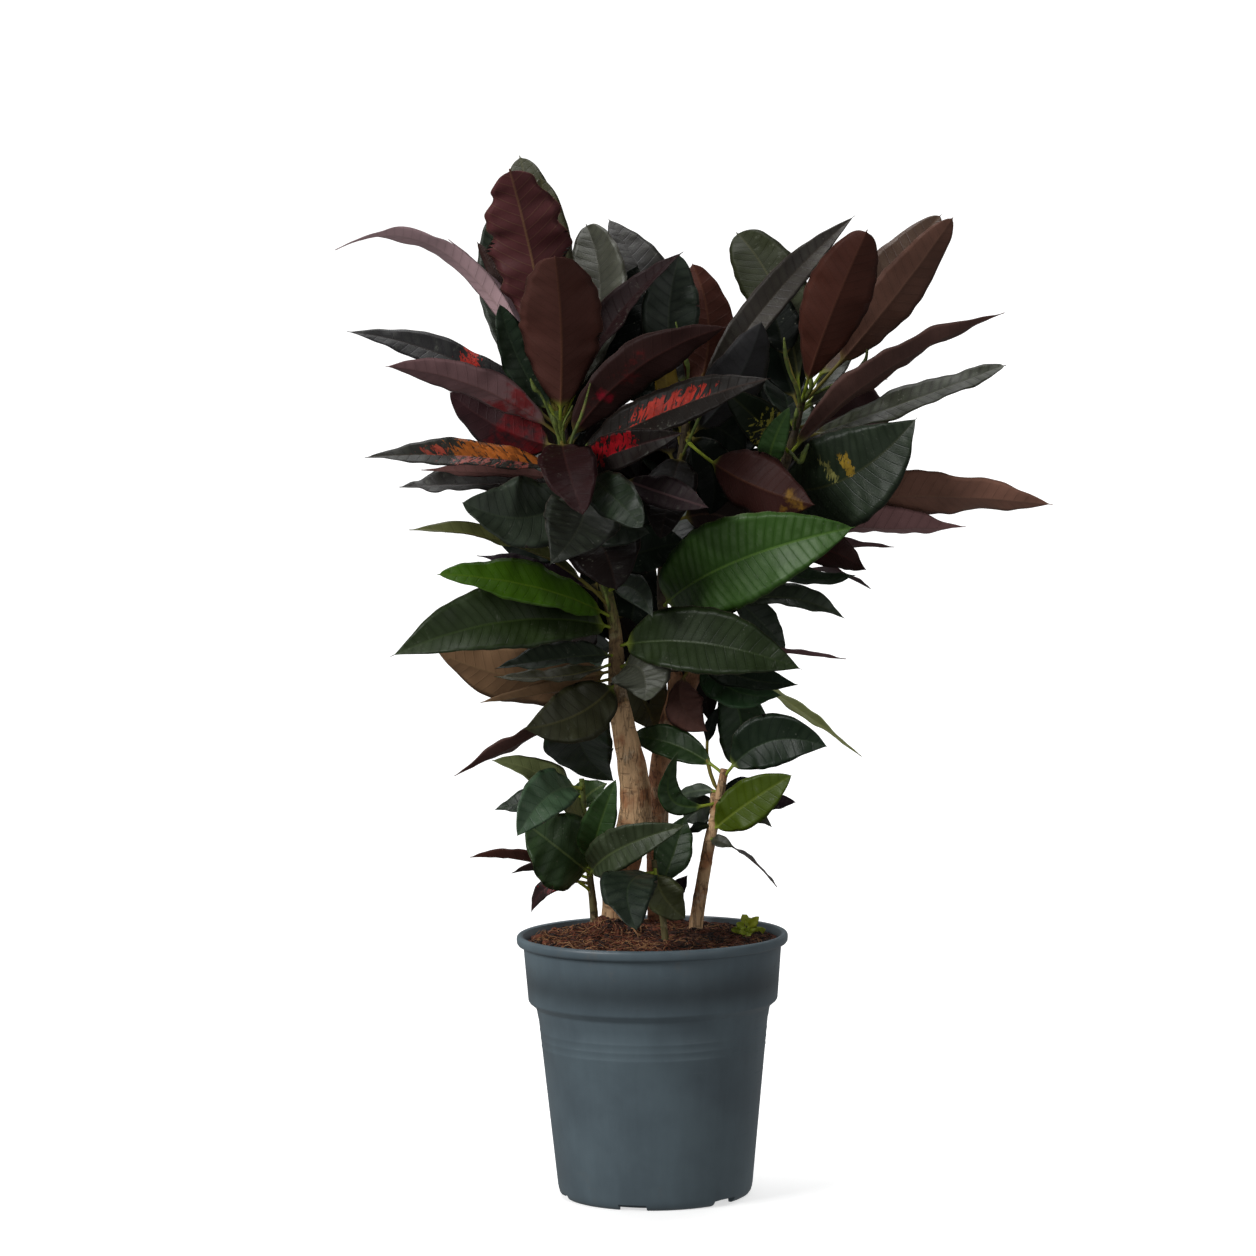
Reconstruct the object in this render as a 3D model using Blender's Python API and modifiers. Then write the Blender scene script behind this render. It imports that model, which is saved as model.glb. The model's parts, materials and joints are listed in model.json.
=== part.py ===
"""A potted croton with large waved leaves on three stems. Metres, +Z up.

The origin is the centre of the pot's base, on the surface that the pot stands on.
The leaf lists give places in centimetres as they look from VIEW_DISTANCE in front, at
VIEW_HEIGHT, on the upright plane through the pot's axis, with a depth behind that plane.
"""

import math

import bmesh
import bpy
import numpy as np
from mathutils import Vector
from mathutils.bvhtree import BVHTree

# Driving dimensions, in metres
RIM_RADIUS = 0.105
POT_HEIGHT = 0.2035
POT_WALL = 0.002
FLOOR_THICKNESS = 0.002
GROOVE_HEIGHT = 0.005
STEP_RADIUS = 0.060
NOTCH_COUNT = 6
NOTCH_WIDTH = 0.022
NOTCH_HEIGHT = 0.0047
NOTCH_AZIMUTH = math.radians(-104)
GAP = 0.0003
SOIL_LEVEL = 0.1965
TURNED_STEPS = 32

# The eye that the leaf lists are written for
VIEW_DISTANCE = 3.28
VIEW_HEIGHT = 0.655

# Leaf thickness at the margin and at the midrib, and the leaf stalk
BLADE_EDGE = 0.00075
BLADE_RIB = 0.0011
STALK_HALF = 0.0013
STALK_DEPTH = 0.0026
CLEARANCE = 0.0022
DEPTH_STEP = 0.6

# Heaps in the coir: centre x, y, height and radius
HEAPS = (
    (-0.032, 0.022, 0.0150, 0.026),
    (0.010, 0.050, 0.0060, 0.030),
    (0.034, 0.004, 0.0050, 0.020),
    (-0.050, -0.040, 0.0030, 0.028),
    (0.020, -0.055, 0.0025, 0.022),
)

# Stems: seen x, seen height, depth (cm) and radius (mm), from the foot up
TRUNK_LEFT = (
    (-2.6, 17.5, 2.6, 12.0), (-2.6, 21.0, 2.6, 13.0), (-2.5, 24.0, 2.6, 12.8), (-1.8, 27.0, 2.5, 12.8),
    (-1.15, 30.0, 2.5, 12.6), (-1.35, 33.0, 2.5, 11.4), (-1.95, 36.0, 2.5, 9.4), (-2.35, 38.3, 2.5, 8.2),
)
TRUNK_MIDDLE = (
    (0.4, 17.5, 5.6, 8.6), (0.5, 22.0, 5.6, 8.8), (0.5, 27.0, 5.6, 8.6), (0.6, 31.0, 5.6, 8.6),
    (1.0, 34.5, 5.5, 8.2), (1.7, 37.0, 5.5, 8.6), (2.1, 38.6, 5.4, 7.6), (2.0, 40.6, 5.4, 5.6),
)
TRUNK_MIDDLE_FORK = (
    (1.8, 37.0, 5.5, 6.0), (2.9, 39.2, 5.4, 6.6), (3.9, 41.2, 5.2, 5.6),
)
SIDE_TRUNK = (
    (3.1, 18.0, 1.0, 5.0), (3.4, 21.0, 1.0, 5.4), (3.9, 24.0, 1.0, 5.0), (4.55, 27.5, 0.9, 4.6),
    (5.15, 30.0, 0.9, 3.8), (5.75, 33.0, 0.8, 3.2),
)
SIDE_TRUNK_FORK = (
    (4.6, 27.6, 1.0, 3.4), (4.9, 29.2, 1.2, 3.4), (4.9, 31.4, 1.4, 3.0),
)
SHOOT_LEFT = (
    (-2.42, 38.9, 2.5, 7.6), (-2.5, 41.0, 2.4, 6.6), (-2.6, 44.0, 2.2, 5.0), (-3.6, 48.5, 1.5, 4.5),
    (-5.0, 53.0, 0.5, 4.0), (-6.2, 57.0, -0.5, 3.6), (-6.8, 60.8, -1.0, 2.6),
)
SHOOT_MIDDLE = (
    (1.92, 41.3, 5.4, 5.0), (1.3, 44.0, 5.3, 4.2), (1.1, 48.0, 4.8, 3.8), (1.8, 53.0, 3.8, 3.8),
    (2.7, 57.0, 2.8, 3.4), (3.2, 60.8, 2.2, 2.6),
)
SHOOT_RIGHT = (
    (4.25, 41.9, 5.2, 5.2), (5.2, 44.5, 5.0, 4.8), (7.0, 48.5, 4.4, 4.4), (9.2, 53.0, 3.2, 4.0),
    (11.0, 57.5, 2.2, 3.6), (12.1, 61.6, 1.6, 2.6),
)
SHOOT_BASAL_LEFT = (
    (-4.35, 18.0, 3.2, 3.4), (-4.5, 22.0, 3.2, 3.2), (-4.8, 25.2, 2.9, 2.6), (-5.1, 29.0, 2.8, 2.3),
    (-5.3, 32.4, 2.8, 2.0),
)
SHOOT_BASAL_FRONT = (
    (1.1, 18.0, -1.8, 2.8), (0.9, 21.0, -1.8, 2.6), (0.5, 23.5, -2.0, 2.4), (0.2, 26.0, -2.2, 2.0),
)
SHOOT_SEEDLINGS = (
    (7.3, 18.6, 1.2, 1.2), (7.3, 20.8, 1.2, 1.0),
)

# Leaves of each shoot: height of the root, bend and tip (x, height, depth), width, turn, stalk and
# tip. A turn of 0 shows the upper face to the eye, 90 the edge, and 180 the underside. The stalk is
# a share of the length. The tip goes from 0, pointed, to 1, round, and on to blades widest near it.
LEFT_LEAVES = (
    # erect leaves of the crown
    (59.6, (-6.4, 67.5, -5.0), (-6.8, 72.7, -9.0), 6.9, 180, 0.09, 1.2),
    (60.0, (-8.8, 73.6, -3.4), (-10.2, 79.4, -6.0), 6.2, 176, 0.11, 2.4),
    (60.3, (-8.2, 74.4, 5.6), (-9.4, 80.4, 9.8), 4.6, 6, 0.12, 1.8),
    (60.3, (-7.4, 73.8, 2.4), (-7.8, 78.8, 4.6), 4.0, 20, 0.12, 1.4),
    (60.0, (-10.9, 70.6, 6.4), (-11.3, 76.0, 10.0), 4.5, 10, 0.12, 1.1),
    (60.4, (-19.9, 74.4, -3.0), (-23.7, 73.3, -4.2), 2.5, 128, 0.1, 0.2),
    (60.0, (-11.4, 70.2, 3.4), (-15.0, 74.1, 4.6), 1.8, 120, 0.1, 0.4),
    (59.8, (-10.9, 70.4, -0.6), (-12.8, 73.9, -0.8), 1.9, 168, 0.1, 1.0),
    (60.0, (-9.8, 65.0, 0.2), (-11.1, 69.1, 0.8), 3.2, 15, 0.12, 0.8),
    # spreading leaves of the crown, to the left
    (59.4, (-15.1, 65.0, -1.2), (-22.9, 67.1, -2.0), 3.2, 40, 0.08, 0.4),
    (58.8, (-12.8, 62.7, -2.4), (-20.0, 64.4, -4.0), 3.4, 142, 0.1, 0.5),
    (58.0, (-12.1, 60.1, 0.4), (-15.1, 62.4, 0.8), 5.2, 160, 0.1, 0.7),
    (56.2, (-13.5, 57.4, -3.2), (-21.7, 57.4, -4.6), 3.0, 44, 0.1, 0.4),
    (55.6, (-12.7, 56.2, -2.0), (-17.4, 56.4, -2.8), 2.0, 120, 0.1, 0.4),
    (55.2, (-13.6, 55.2, -0.6), (-19.1, 55.1, -1.2), 3.8, 56, 0.1, 0.4),
    (54.6, (-9.8, 52.6, -3.4), (-14.3, 53.9, -4.8), 6.4, 20, 0.08, 0.7),
    (54.4, (-5.3, 51.7, -6.4), (-7.6, 48.9, -9.6), 6.0, 8, 0.1, 0.2),
    (54.4, (-2.8, 52.2, -2.4), (0.3, 51.3, -3.4), 4.6, 10, 0.1, 0.2),
    # leaves that cross to the right of the crown
    (59.8, (-3.4, 71.1, 5.4), (-4.4, 75.1, 9.0), 5.2, 18, 0.14, 1.3),
    (59.6, (-1.9, 68.2, 0.6), (3.1, 72.9, 0.6), 3.6, 52, 0.12, 0.4),
    (57.8, (-0.6, 64.0, -3.0), (6.4, 67.1, -5.4), 4.2, 152, 0.08, 0.5),
    (56.8, (2.5, 61.0, -5.2), (9.7, 63.1, -8.6), 3.8, 30, 0.08, 0.4),
    (55.8, (-2.1, 57.6, -5.6), (3.0, 59.0, -8.4), 3.2, 12, 0.1, 0.4),
    (58.6, (-6.0, 56.2, -6.8), (-4.9, 52.7, -10.6), 4.6, 10, 0.14, 0.8),
    (56.6, (-2.7, 54.3, -7.2), (-0.3, 51.7, -10.6), 3.5, 8, 0.34, 0.9),
    (57.2, (2.3, 54.0, -5.2), (4.8, 53.2, -8.0), 2.7, 14, 0.38, 0.1),
    # leaves below the crown, to the left
    (45.6, (-10.1, 50.5, -3.2), (-18.4, 51.8, -4.4), 3.2, 62, 0.2, 0.4),
    (46.4, (-8.5, 48.7, 0.8), (-13.2, 49.75, 0.8), 2.2, 60, 0.16, 0.2),
    (44.8, (-9.3, 47.4, -2.4), (-16.3, 48.35, -4.0), 4.5, 44, 0.08, 0.8),
    (44.0, (-10.7, 44.65, -3.6), (-20.0, 42.0, -5.6), 6.2, 26, 0.04, 0.2),
    (41.9, (-7.0, 41.7, -1.6), (-11.9, 41.0, -2.6), 3.2, 48, 0.06, 0.4),
    (40.8, (-9.8, 40.3, 2.6), (-16.5, 42.5, 2.4), 5.4, 152, 0.06, 0.3),
    (41.4, (-7.0, 40.3, -0.2), (-12.0, 40.4, -0.8), 2.3, 60, 0.1, 0.3),
    (40.2, (-8.1, 39.1, 0.4), (-13.1, 38.4, -0.4), 2.1, 118, 0.14, 0.2),
    (39.0, (-10.0, 35.3, 3.4), (-15.2, 32.7, 3.6), 2.5, 118, 0.14, 0.3),
    (40.0, (-6.5, 37.0, -2.0), (-9.8, 36.3, -3.6), 4.6, 4, 0.08, 0.4),
    (39.0, (-5.3, 35.1, 5.0), (-2.7, 32.1, 5.4), 5.8, 14, 0.1, 0.5),
    # leaves below the crown, to the right and inside
    (42.6, (5.2, 42.6, -3.0), (11.9, 40.6, -4.2), 5.8, 12, 0.06, 0.3),
    (40.9, (-0.3, 40.1, -5.0), (-0.3, 38.3, -8.6), 5.4, 4, 0.12, 0.9),
    (50.0, (-3.2, 49.8, -2.6), (-2.4, 46.9, -4.6), 5.8, 6, 0.1, 0.8),
    (46.8, (-0.9, 46.9, -1.6), (0.4, 44.7, -3.6), 2.4, 8, 0.14, 0.2),
    (48.6, (-1.2, 49.6, 3.2), (3.0, 50.6, 4.4), 4.4, 20, 0.12, 0.5),
    (52.0, (-7.6, 50.8, 2.6), (-11.4, 50.6, 3.4), 4.0, 20, 0.12, 0.5),
    (59.0, (-2.9, 66.0, 3.0), (-0.4, 72.0, 5.0), 5.4, 12, 0.12, 0.6),
    (41.6, (-0.3, 38.1, 7.0), (0.6, 35.8, 7.5), 4.6, 10, 0.12, 0.6),
    (49.4, (-4.9, 44.5, 3.4), (-6.4, 46.6, 4.4), 5.4, 16, 0.12, 0.6),
    (57.5, (-5.4, 59.6, 3.0), (-8.8, 58.1, 3.6), 4.0, 20, 0.12, 0.6),
    (56.0, (-2.8, 58.1, 3.6), (-0.5, 54.9, 4.6), 4.2, 14, 0.12, 0.6),
    (42.6, (-4.2, 42.3, 3.4), (-6.4, 40.8, 4.4), 4.6, 14, 0.12, 0.6),
    (42.2, (-3.75, 45.6, 3.6), (-4.7, 49.6, 4.6), 3.0, 14, 0.12, 0.6),
)
MIDDLE_LEAVES = (
    (60.2, (0.0, 70.9, 7.2), (-2.7, 75.5, 10.6), 5.2, 24, 0.12, 0.6),
    (60.5, (1.9, 68.5, 1.6), (2.8, 72.7, 2.0), 4.9, 10, 0.3, 0.9),
    (60.2, (4.9, 67.3, 3.6), (3.7, 72.0, 5.0), 4.9, 172, 0.1, 1.2),
    (60.0, (1.6, 63.0, -0.2), (1.9, 65.6, -0.4), 1.9, 10, 0.20, 0.8),
    (58.6, (8.7, 54.7, -4.0), (13.0, 53.3, -6.6), 5.2, 160, 0.28, 0.4),
    (59.4, (10.95, 70.5, 1.8), (16.3, 75.5, 4.2), 3.0, 12, 0.1, 0.4),
    (45.6, (8.3, 49.6, -4.4), (16.1, 51.6, -7.4), 7.4, 2, 0.04, 0.6),
    (57.4, (1.7, 54.0, -4.4), (1.0, 50.8, -7.8), 4.0, 8, 0.12, 0.9),
    (59.2, (5.2, 55.3, -1.2), (4.8, 52.6, -2.6), 3.8, 12, 0.1, 0.6),
    (52.0, (5.6, 52.6, 0.6), (7.9, 48.8, 0.4), 5.0, 16, 0.12, 0.5),
    (58.4, (7.4, 63.5, -1.4), (9.0, 67.5, -3.2), 4.6, 160, 0.12, 0.7),
    (58.6, (4.2, 59.5, 4.0), (7.7, 57.6, 5.5), 5.2, 8, 0.12, 0.7),
    (51.0, (-0.1, 52.7, 4.5), (-2.4, 48.8, 5.5), 4.8, 12, 0.12, 0.6),
    (58.0, (0.7, 62.2, 2.6), (-1.8, 61.6, 3.4), 3.4, 20, 0.12, 0.6),
    (49.0, (-0.4, 47.7, 7.6), (-1.4, 42.2, 8.6), 4.8, 10, 0.12, 0.6),
)
RIGHT_LEAVES = (
    # erect leaves of the crown
    (60.6, (10.0, 70.0, 7.0), (7.1, 74.3, 11.5), 5.2, 8, 0.12, 2.0),
    (61.2, (10.4, 66.4, 4.6), (9.6, 69.8, 7.0), 3.8, 8, 0.42, 0.8),
    (61.3, (14.3, 67.9, -4.4), (17.2, 74.4, -8.4), 5.4, 178, 0.12, 1.6),
    (61.0, (19.6, 69.7, 0.6), (23.8, 75.3, 0.8), 4.0, 160, 0.24, 0.9),
    (61.0, (17.6, 69.1, 3.6), (22.9, 75.5, 6.0), 4.8, 24, 0.14, 0.9),
    (60.6, (14.8, 64.0, 4.6), (16.3, 67.6, 7.6), 2.0, 16, 0.18, 0.6),
    # spreading leaves of the crown
    (57.0, (19.6, 64.3, -3.4), (27.7, 67.9, -5.4), 3.8, 122, 0.06, 0.2),
    (58.2, (22.3, 61.9, 1.2), (27.8, 63.9, 1.2), 3.3, 52, 0.1, 1.1),
    (59.2, (16.0, 60.3, 2.2), (19.1, 60.9, 3.6), 4.6, 30, 0.1, 0.5),
    (60.4, (15.6, 62.4, 3.4), (18.7, 62.9, 4.6), 1.5, 30, 0.12, 0.3),
    (54.6, (17.0, 56.3, -4.6), (20.9, 60.0, -6.8), 7.7, 6, 0.06, 0.4),
    (53.2, (22.2, 53.9, -2.4), (31.3, 53.1, -4.8), 5.2, 132, 0.08, 0.6),
    (52.4, (18.2, 51.5, 0.2), (24.6, 51.5, -0.4), 4.2, 124, 0.1, 0.3),
    (51.8, (15.0, 50.3, 1.6), (19.1, 50.0, 1.6), 1.4, 128, 0.1, 0.3),
    (50.8, (14.8, 49.5, 1.2), (16.9, 48.2, 1.0), 3.4, 150, 0.1, 0.4),
    (50.0, (12.0, 47.7, 2.6), (16.1, 47.9, 2.8), 2.3, 52, 0.1, 0.4),
    (45.4, (11.1, 46.1, 3.0), (15.2, 44.5, 3.0), 2.7, 40, 0.12, 0.4),
    (57.4, (8.7, 59.8, -2.6), (5.9, 62.4, -4.2), 3.5, 8, 0.12, 0.6),
    (55.2, (9.8, 58.2, -5.0), (11.1, 60.9, -7.6), 2.1, 6, 0.36, 0.7),
    # low leaves under the crown
    (42.8, (10.4, 42.0, 2.0), (15.3, 41.4, 2.0), 1.4, 112, 0.10, 0.2),
    (42.2, (6.6, 40.3, 1.6), (11.6, 39.45, 1.0), 3.6, 34, 0.08, 0.3),
    (42.1, (6.0, 39.4, 5.2), (10.3, 38.7, 5.4), 4.0, 30, 0.1, 0.4),
    (42.4, (11.4, 37.6, 4.0), (16.4, 33.8, 4.2), 2.0, 66, 0.14, 0.2),
    (42.2, (7.1, 36.3, 1.4), (6.6, 33.3, 1.0), 4.2, 6, 0.14, 1.6),
    (42.2, (2.7, 37.6, 2.6), (4.5, 35.9, 2.6), 3.5, 160, 0.3, 0.4),
    (60.6, (10.1, 66.0, 4.4), (9.5, 69.2, 5.4), 4.0, 10, 0.12, 0.6),
)
BASAL_LEFT_LEAVES = (
    (26.0, (-8.2, 32.5, 1.4), (-12.3, 33.9, 1.0), 3.4, 50, 0.18, 0.5),
    (31.6, (-8.0, 31.0, -1.2), (-10.4, 27.9, -3.0), 4.0, 12, 0.12, 0.5),
    (31.0, (-8.8, 30.7, 2.6), (-12.1, 30.05, 2.8), 2.4, 40, 0.12, 0.4),
    (25.0, (-7.8, 27.5, 0.4), (-9.7, 29.0, 0.6), 6.3, 16, 0.08, 0.7),
    (29.6, (-4.9, 31.0, 4.6), (-3.3, 32.0, 4.8), 2.6, 20, 0.14, 0.5),
    (23.6, (-8.9, 25.9, -0.6), (-14.1, 26.4, -1.6), 2.5, 114, 0.12, 0.3),
    (24.6, (-8.2, 25.4, 2.2), (-10.9, 25.1, 2.4), 1.7, 112, 0.12, 0.3),
    (24.2, (-7.7, 24.2, 1.2), (-9.35, 22.0, 1.0), 1.4, 18, 0.14, 0.5),
    (25.4, (-3.9, 28.9, -1.0), (-2.6, 32.4, -1.8), 3.0, 14, 0.10, 0.6),
    (24.8, (-1.0, 27.55, -4.4), (2.8, 28.7, -6.0), 3.5, 6, 0.08, 0.5),
)
BASAL_FRONT_LEAVES = (
    (23.6, (1.8, 26.6, -0.4), (2.6, 29.4, -0.2), 3.1, 16, 0.12, 0.7),
    (25.0, (-1.9, 23.4, -5.4), (-1.2, 20.5, -6.4), 4.4, 8, 0.08, 0.9),
    (25.4, (0.9, 23.2, -5.2), (2.6, 21.4, -6.4), 3.2, 10, 0.12, 0.6),
    (22.4, (1.9, 23.6, -0.6), (2.8, 24.8, -0.6), 1.5, 12, 0.14, 0.5),
)
SIDE_LEAVES = (
    (28.2, (8.2, 30.8, -1.8), (11.0, 32.5, -2.8), 3.6, 4, 0.06, 0.6),
    (29.4, (8.3, 30.3, 0.8), (11.3, 30.35, 1.0), 1.9, 20, 0.12, 0.5),
    (28.6, (7.8, 29.4, 2.0), (9.4, 28.4, 2.2), 1.5, 20, 0.14, 0.5),
    (30.2, (6.9, 31.4, 2.2), (8.6, 32.1, 2.4), 1.9, 14, 0.14, 0.5),
    (27.8, (7.4, 26.2, 0.4), (9.75, 23.7, 0.2), 1.4, 82, 0.14, 0.3),
    (27.6, (5.5, 27.3, -0.6), (6.4, 26.9, -0.9), 1.1, 20, 0.16, 0.5),
    (30.4, (3.9, 29.9, 2.4), (2.5, 28.9, 2.8), 3.0, 14, 0.12, 0.5),
    (28.6, (3.7, 28.5, 0.4), (2.8, 28.0, 0.4), 0.9, 30, 0.14, 0.4),
    (31.2, (3.4, 31.3, 2.2), (1.9, 30.8, 2.6), 1.2, 24, 0.14, 0.4),
    (32.6, (1.75, 35.0, 2.6), (-1.8, 35.6, 4.4), 2.8, 10, 0.14, 0.5),
    (32.2, (9.8, 35.2, -1.4), (13.8, 34.6, -2.6), 4.5, 6, 0.12, 0.4),
    (31.0, (4.4, 34.6, 1.8), (5.3, 37.8, 2.6), 1.0, 20, 0.60, 0.5),
    (30.4, (1.8, 30.5, 2.8), (2.2, 34.5, 3.4), 2.0, 16, 0.12, 0.5),
)
SEEDLING_LEAVES = (
    (20.5, (6.9, 20.8, 0.8), (6.5, 21.0, 0.6), 0.7, 10, 0.30, 0.8),
    (20.6, (7.5, 21.1, 1.0), (7.7, 21.4, 0.8), 0.7, 8, 0.30, 0.8),
    (20.3, (7.8, 20.6, 0.6), (8.2, 20.6, 0.3), 0.7, 20, 0.30, 0.8),
    (20.2, (7.0, 20.3, 0.3), (6.8, 20.2, 0.0), 0.7, 20, 0.30, 0.8),
    (20.3, (7.5, 20.4, 0.1), (7.6, 20.3, -0.3), 0.7, 14, 0.30, 0.8),
)

# Leaves of the rear, which the eye hardly sees: lowest and highest root, how many, and the seed
REAR_LEAVES = {
    "left_foliage": (42.0, 60.4, 8, 3),
    "middle_foliage": (44.0, 60.4, 8, 5),
    "right_foliage": (43.0, 61.2, 9, 7),
}


def seen(x, height, depth):
    """The place of a point seen at x and height (cm) on the pot's plane, depth cm behind it."""
    grow = (VIEW_DISTANCE + depth / 100) / VIEW_DISTANCE
    return Vector((x / 100 * grow, depth / 100, VIEW_HEIGHT + (height / 100 - VIEW_HEIGHT) * grow))


def finish(name, colour, roughness):
    """A Principled material."""
    material = bpy.data.materials.new(name)
    material.use_nodes = True
    shader = material.node_tree.nodes["Principled BSDF"]
    shader.inputs["Base Color"].default_value = (*colour, 1)
    shader.inputs["Roughness"].default_value = roughness
    shader.inputs["Metallic"].default_value = 0.0
    return material


def collection(name):
    made = bpy.data.collections.new(name)
    bpy.context.scene.collection.children.link(made)
    return made


def add_object(name, mesh, group, material=None):
    piece = bpy.data.objects.new(name, mesh)
    group.objects.link(piece)
    if material:
        mesh.materials.clear()
        mesh.materials.append(material)
    return piece


def evaluated_mesh(piece):
    """A new mesh of the piece as it looks with its modifiers, in world space."""
    bpy.context.view_layer.update()
    graph = bpy.context.evaluated_depsgraph_get()
    mesh = bpy.data.meshes.new_from_object(piece.evaluated_get(graph))
    mesh.transform(piece.matrix_world)
    return mesh


def weld(mesh, within=0.00001):
    shape = bmesh.new()
    shape.from_mesh(mesh)
    bmesh.ops.remove_doubles(shape, verts=shape.verts, dist=within)
    bmesh.ops.recalc_face_normals(shape, faces=shape.faces)
    shape.to_mesh(mesh)
    shape.free()


def turned(name, profile, group, material):
    """A solid turned round Z from a profile of (radius, height), with both ends on the axis."""
    mesh = bpy.data.meshes.new(name)
    mesh.from_pydata([(r, 0, z) for r, z in profile], [(i, i + 1) for i in range(len(profile) - 1)], [])
    piece = add_object(name, mesh, group)
    screw = piece.modifiers.new("turn", "SCREW")
    screw.steps = TURNED_STEPS
    screw.render_steps = TURNED_STEPS
    screw.use_merge_vertices = True
    screw.merge_threshold = 0.0001
    solid = evaluated_mesh(piece)
    bpy.data.objects.remove(piece)
    weld(solid)
    return add_object(name, solid, group, material)


def stem_rows(points, grow=0.0):
    """Places and radii along a stem from its seen points, with the radii grown by a margin."""
    return smooth_rows([(*seen(x, z, y), r / 1000 + grow) for x, z, y, r in points], 2)


def seated_rows(points, below):
    """Rows of a shoot, with a foot that stands square on the end of the stem below, a gap away."""
    near, end = stem_rows(below)[-2:]
    along = (Vector(end[:3]) - Vector(near[:3])).normalized()
    foot = [(*(Vector(end[:3]) + along * reach), end[3] * 0.97) for reach in (GAP, 0.0035)]
    return foot + stem_rows(points)


def tube(name, rows, group):
    """A mesh tube through rows of x, y, z and radius."""
    curve = bpy.data.curves.new(name, "CURVE")
    curve.dimensions = "3D"
    curve.bevel_depth = 1.0
    curve.bevel_resolution = 2
    curve.use_fill_caps = True
    spline = curve.splines.new("POLY")
    spline.points.add(len(rows) - 1)
    for point, row in zip(spline.points, rows):
        point.co = (row[0], row[1], row[2], 1)
        point.radius = row[3]
    wire = add_object(name, curve, group)
    mesh = evaluated_mesh(wire)
    bpy.data.objects.remove(wire)
    weld(mesh)
    return add_object(name, mesh, group)


def smooth_rows(rows, finer):
    """A smooth line through the rows, with a number of steps from each row to the next."""
    table = np.array(rows)
    ends = np.vstack([2 * table[0] - table[1], table, 2 * table[-1] - table[-2]])
    out = []
    for i in range(1, len(ends) - 2):
        a, b, c, d = ends[i - 1 : i + 3]
        for k in range(finer):
            t = k / finer
            out.append(0.5 * (2 * b + (c - a) * t + (2 * a - 5 * b + 4 * c - d) * t**2
                              + (3 * b - a - 3 * c + d) * t**3))
    out.append(ends[-2])
    return [tuple(row) for row in out]


def on_shoot(points, height):
    """The place on a shoot's axis at a seen height."""
    rows = smooth_rows([(x, z, y) for x, z, y, _ in points], 4)
    for low, high in zip(rows, rows[1:]):
        if low[1] <= height <= high[1]:
            t = (height - low[1]) / (high[1] - low[1])
            return seen(*[a + t * (b - a) for a, b in zip(low, high)])
    raise ValueError("no such height on the shoot")


def outline(s, roundness):
    """Half the width of a blade, from 0 to 1, at the share s of its length."""
    tip = max(0.0, s - 0.5) / 0.5
    blunt = min(1.0, roundness)
    # over 1, the widest place moves toward the tip
    power = 0.92 + 0.5 * (max(1.0, roundness) - 1)
    return math.sin(math.pi * s**power) ** (0.72 * (1 - tip) + (1.15 - 0.65 * blunt) * tip)


def leaf_frames(leaf, points, shift, steps):
    """Stations along a leaf: place, width direction, upper normal, share of the blade and stalk share."""
    height, bend, tip, _, turn, stalk, _ = leaf
    root = on_shoot(points, height)
    middle = seen(bend[0], bend[1], bend[2] + 0.55 * shift)
    end = seen(tip[0], tip[1], tip[2] + shift)
    first = (middle - root).length
    second = (end - middle).length
    m = first / (first + second)

    def place(t):
        return (root * (t - m) * (t - 1) / m + middle * t * (t - 1) / (m * (m - 1))
                + end * t * (t - m) / (1 - m))

    def along(t):
        return (place(min(1, t + 0.01)) - place(max(0, t - 0.01))).normalized()

    eye = Vector((0, -VIEW_DISTANCE, VIEW_HEIGHT))
    heading = along(0.55)
    facing = eye - place(0.55)
    facing = (facing - heading * facing.dot(heading)).normalized()
    side = 1 if end.x >= root.x else -1
    angle = math.radians(turn)
    normal = facing * math.cos(angle) + facing.cross(heading) * side * math.sin(angle)
    shares = [0.0, stalk] + [stalk + (1 - stalk) * (0.5 - 0.5 * math.cos(math.pi * k / steps))
                             for k in range(1, steps)] + [1.0]
    frames = []
    for t in shares:
        heading = along(t)
        up = (normal - heading * normal.dot(heading)).normalized()
        frames.append((place(t), up.cross(heading), up, (t - stalk) / (1 - stalk)))
    return frames


def leaf_shape(leaf, points, number, shift=0.0, fat=0.0):
    """Corners and triangles of a closed leaf, a six-cornered section at each station."""
    length = (seen(*leaf[2]) - seen(*leaf[1])).length + (seen(*leaf[1]) - on_shoot(points, leaf[0])).length
    steps = 2 + sum(length > least for least in (0.035, 0.09, 0.155, 0.21))
    half = leaf[3] / 200
    fold = math.radians(16 + 8 * math.sin(1.7 * number))
    wave = 0.055 * half + 0.0006
    corners = []
    for place, across, up, s in leaf_frames(leaf, points, shift, steps):
        if s <= 0:
            reach, lift, left, right = STALK_HALF, 0.0, 0.0, 0.0
            edge, rib = STALK_DEPTH * 0.45, STALK_DEPTH
        else:
            wide = max(0.0004, half * outline(s, leaf[6])) if s < 1 else 0.0004
            reach, lift = wide * math.cos(fold), wide * math.sin(fold)
            swing = 2 * math.pi * 2.2 * s + 2.4 * number
            swell = wave * min(1.0, wide / half * 1.4)
            left, right = swell * math.sin(swing), swell * math.sin(swing + 1.9)
            edge, rib = BLADE_EDGE, BLADE_RIB
        edge, rib = edge / 2 + fat, rib / 2 + fat
        reach += fat
        for x, z in ((-reach, lift + left + edge), (0, rib), (reach, lift + right + edge),
                     (reach, lift + right - edge), (0, -rib), (-reach, lift + left - edge)):
            corners.append(place + across * x + up * z)
    triangles = [(0, 1, 5), (1, 4, 5), (1, 2, 4), (2, 3, 4)]
    last = len(corners) - 6
    triangles += [tuple(last + c for c in reversed(face)) for face in triangles]
    for ring in range(0, last, 6):
        for j in range(6):
            a, b = ring + j, ring + (j + 1) % 6
            c, d = b + 6, a + 6
            if j in (0, 3):
                triangles += [(a, c, b), (a, d, c)]
            else:
                triangles += [(a, d, b), (b, d, c)]
    return corners, triangles


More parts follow.
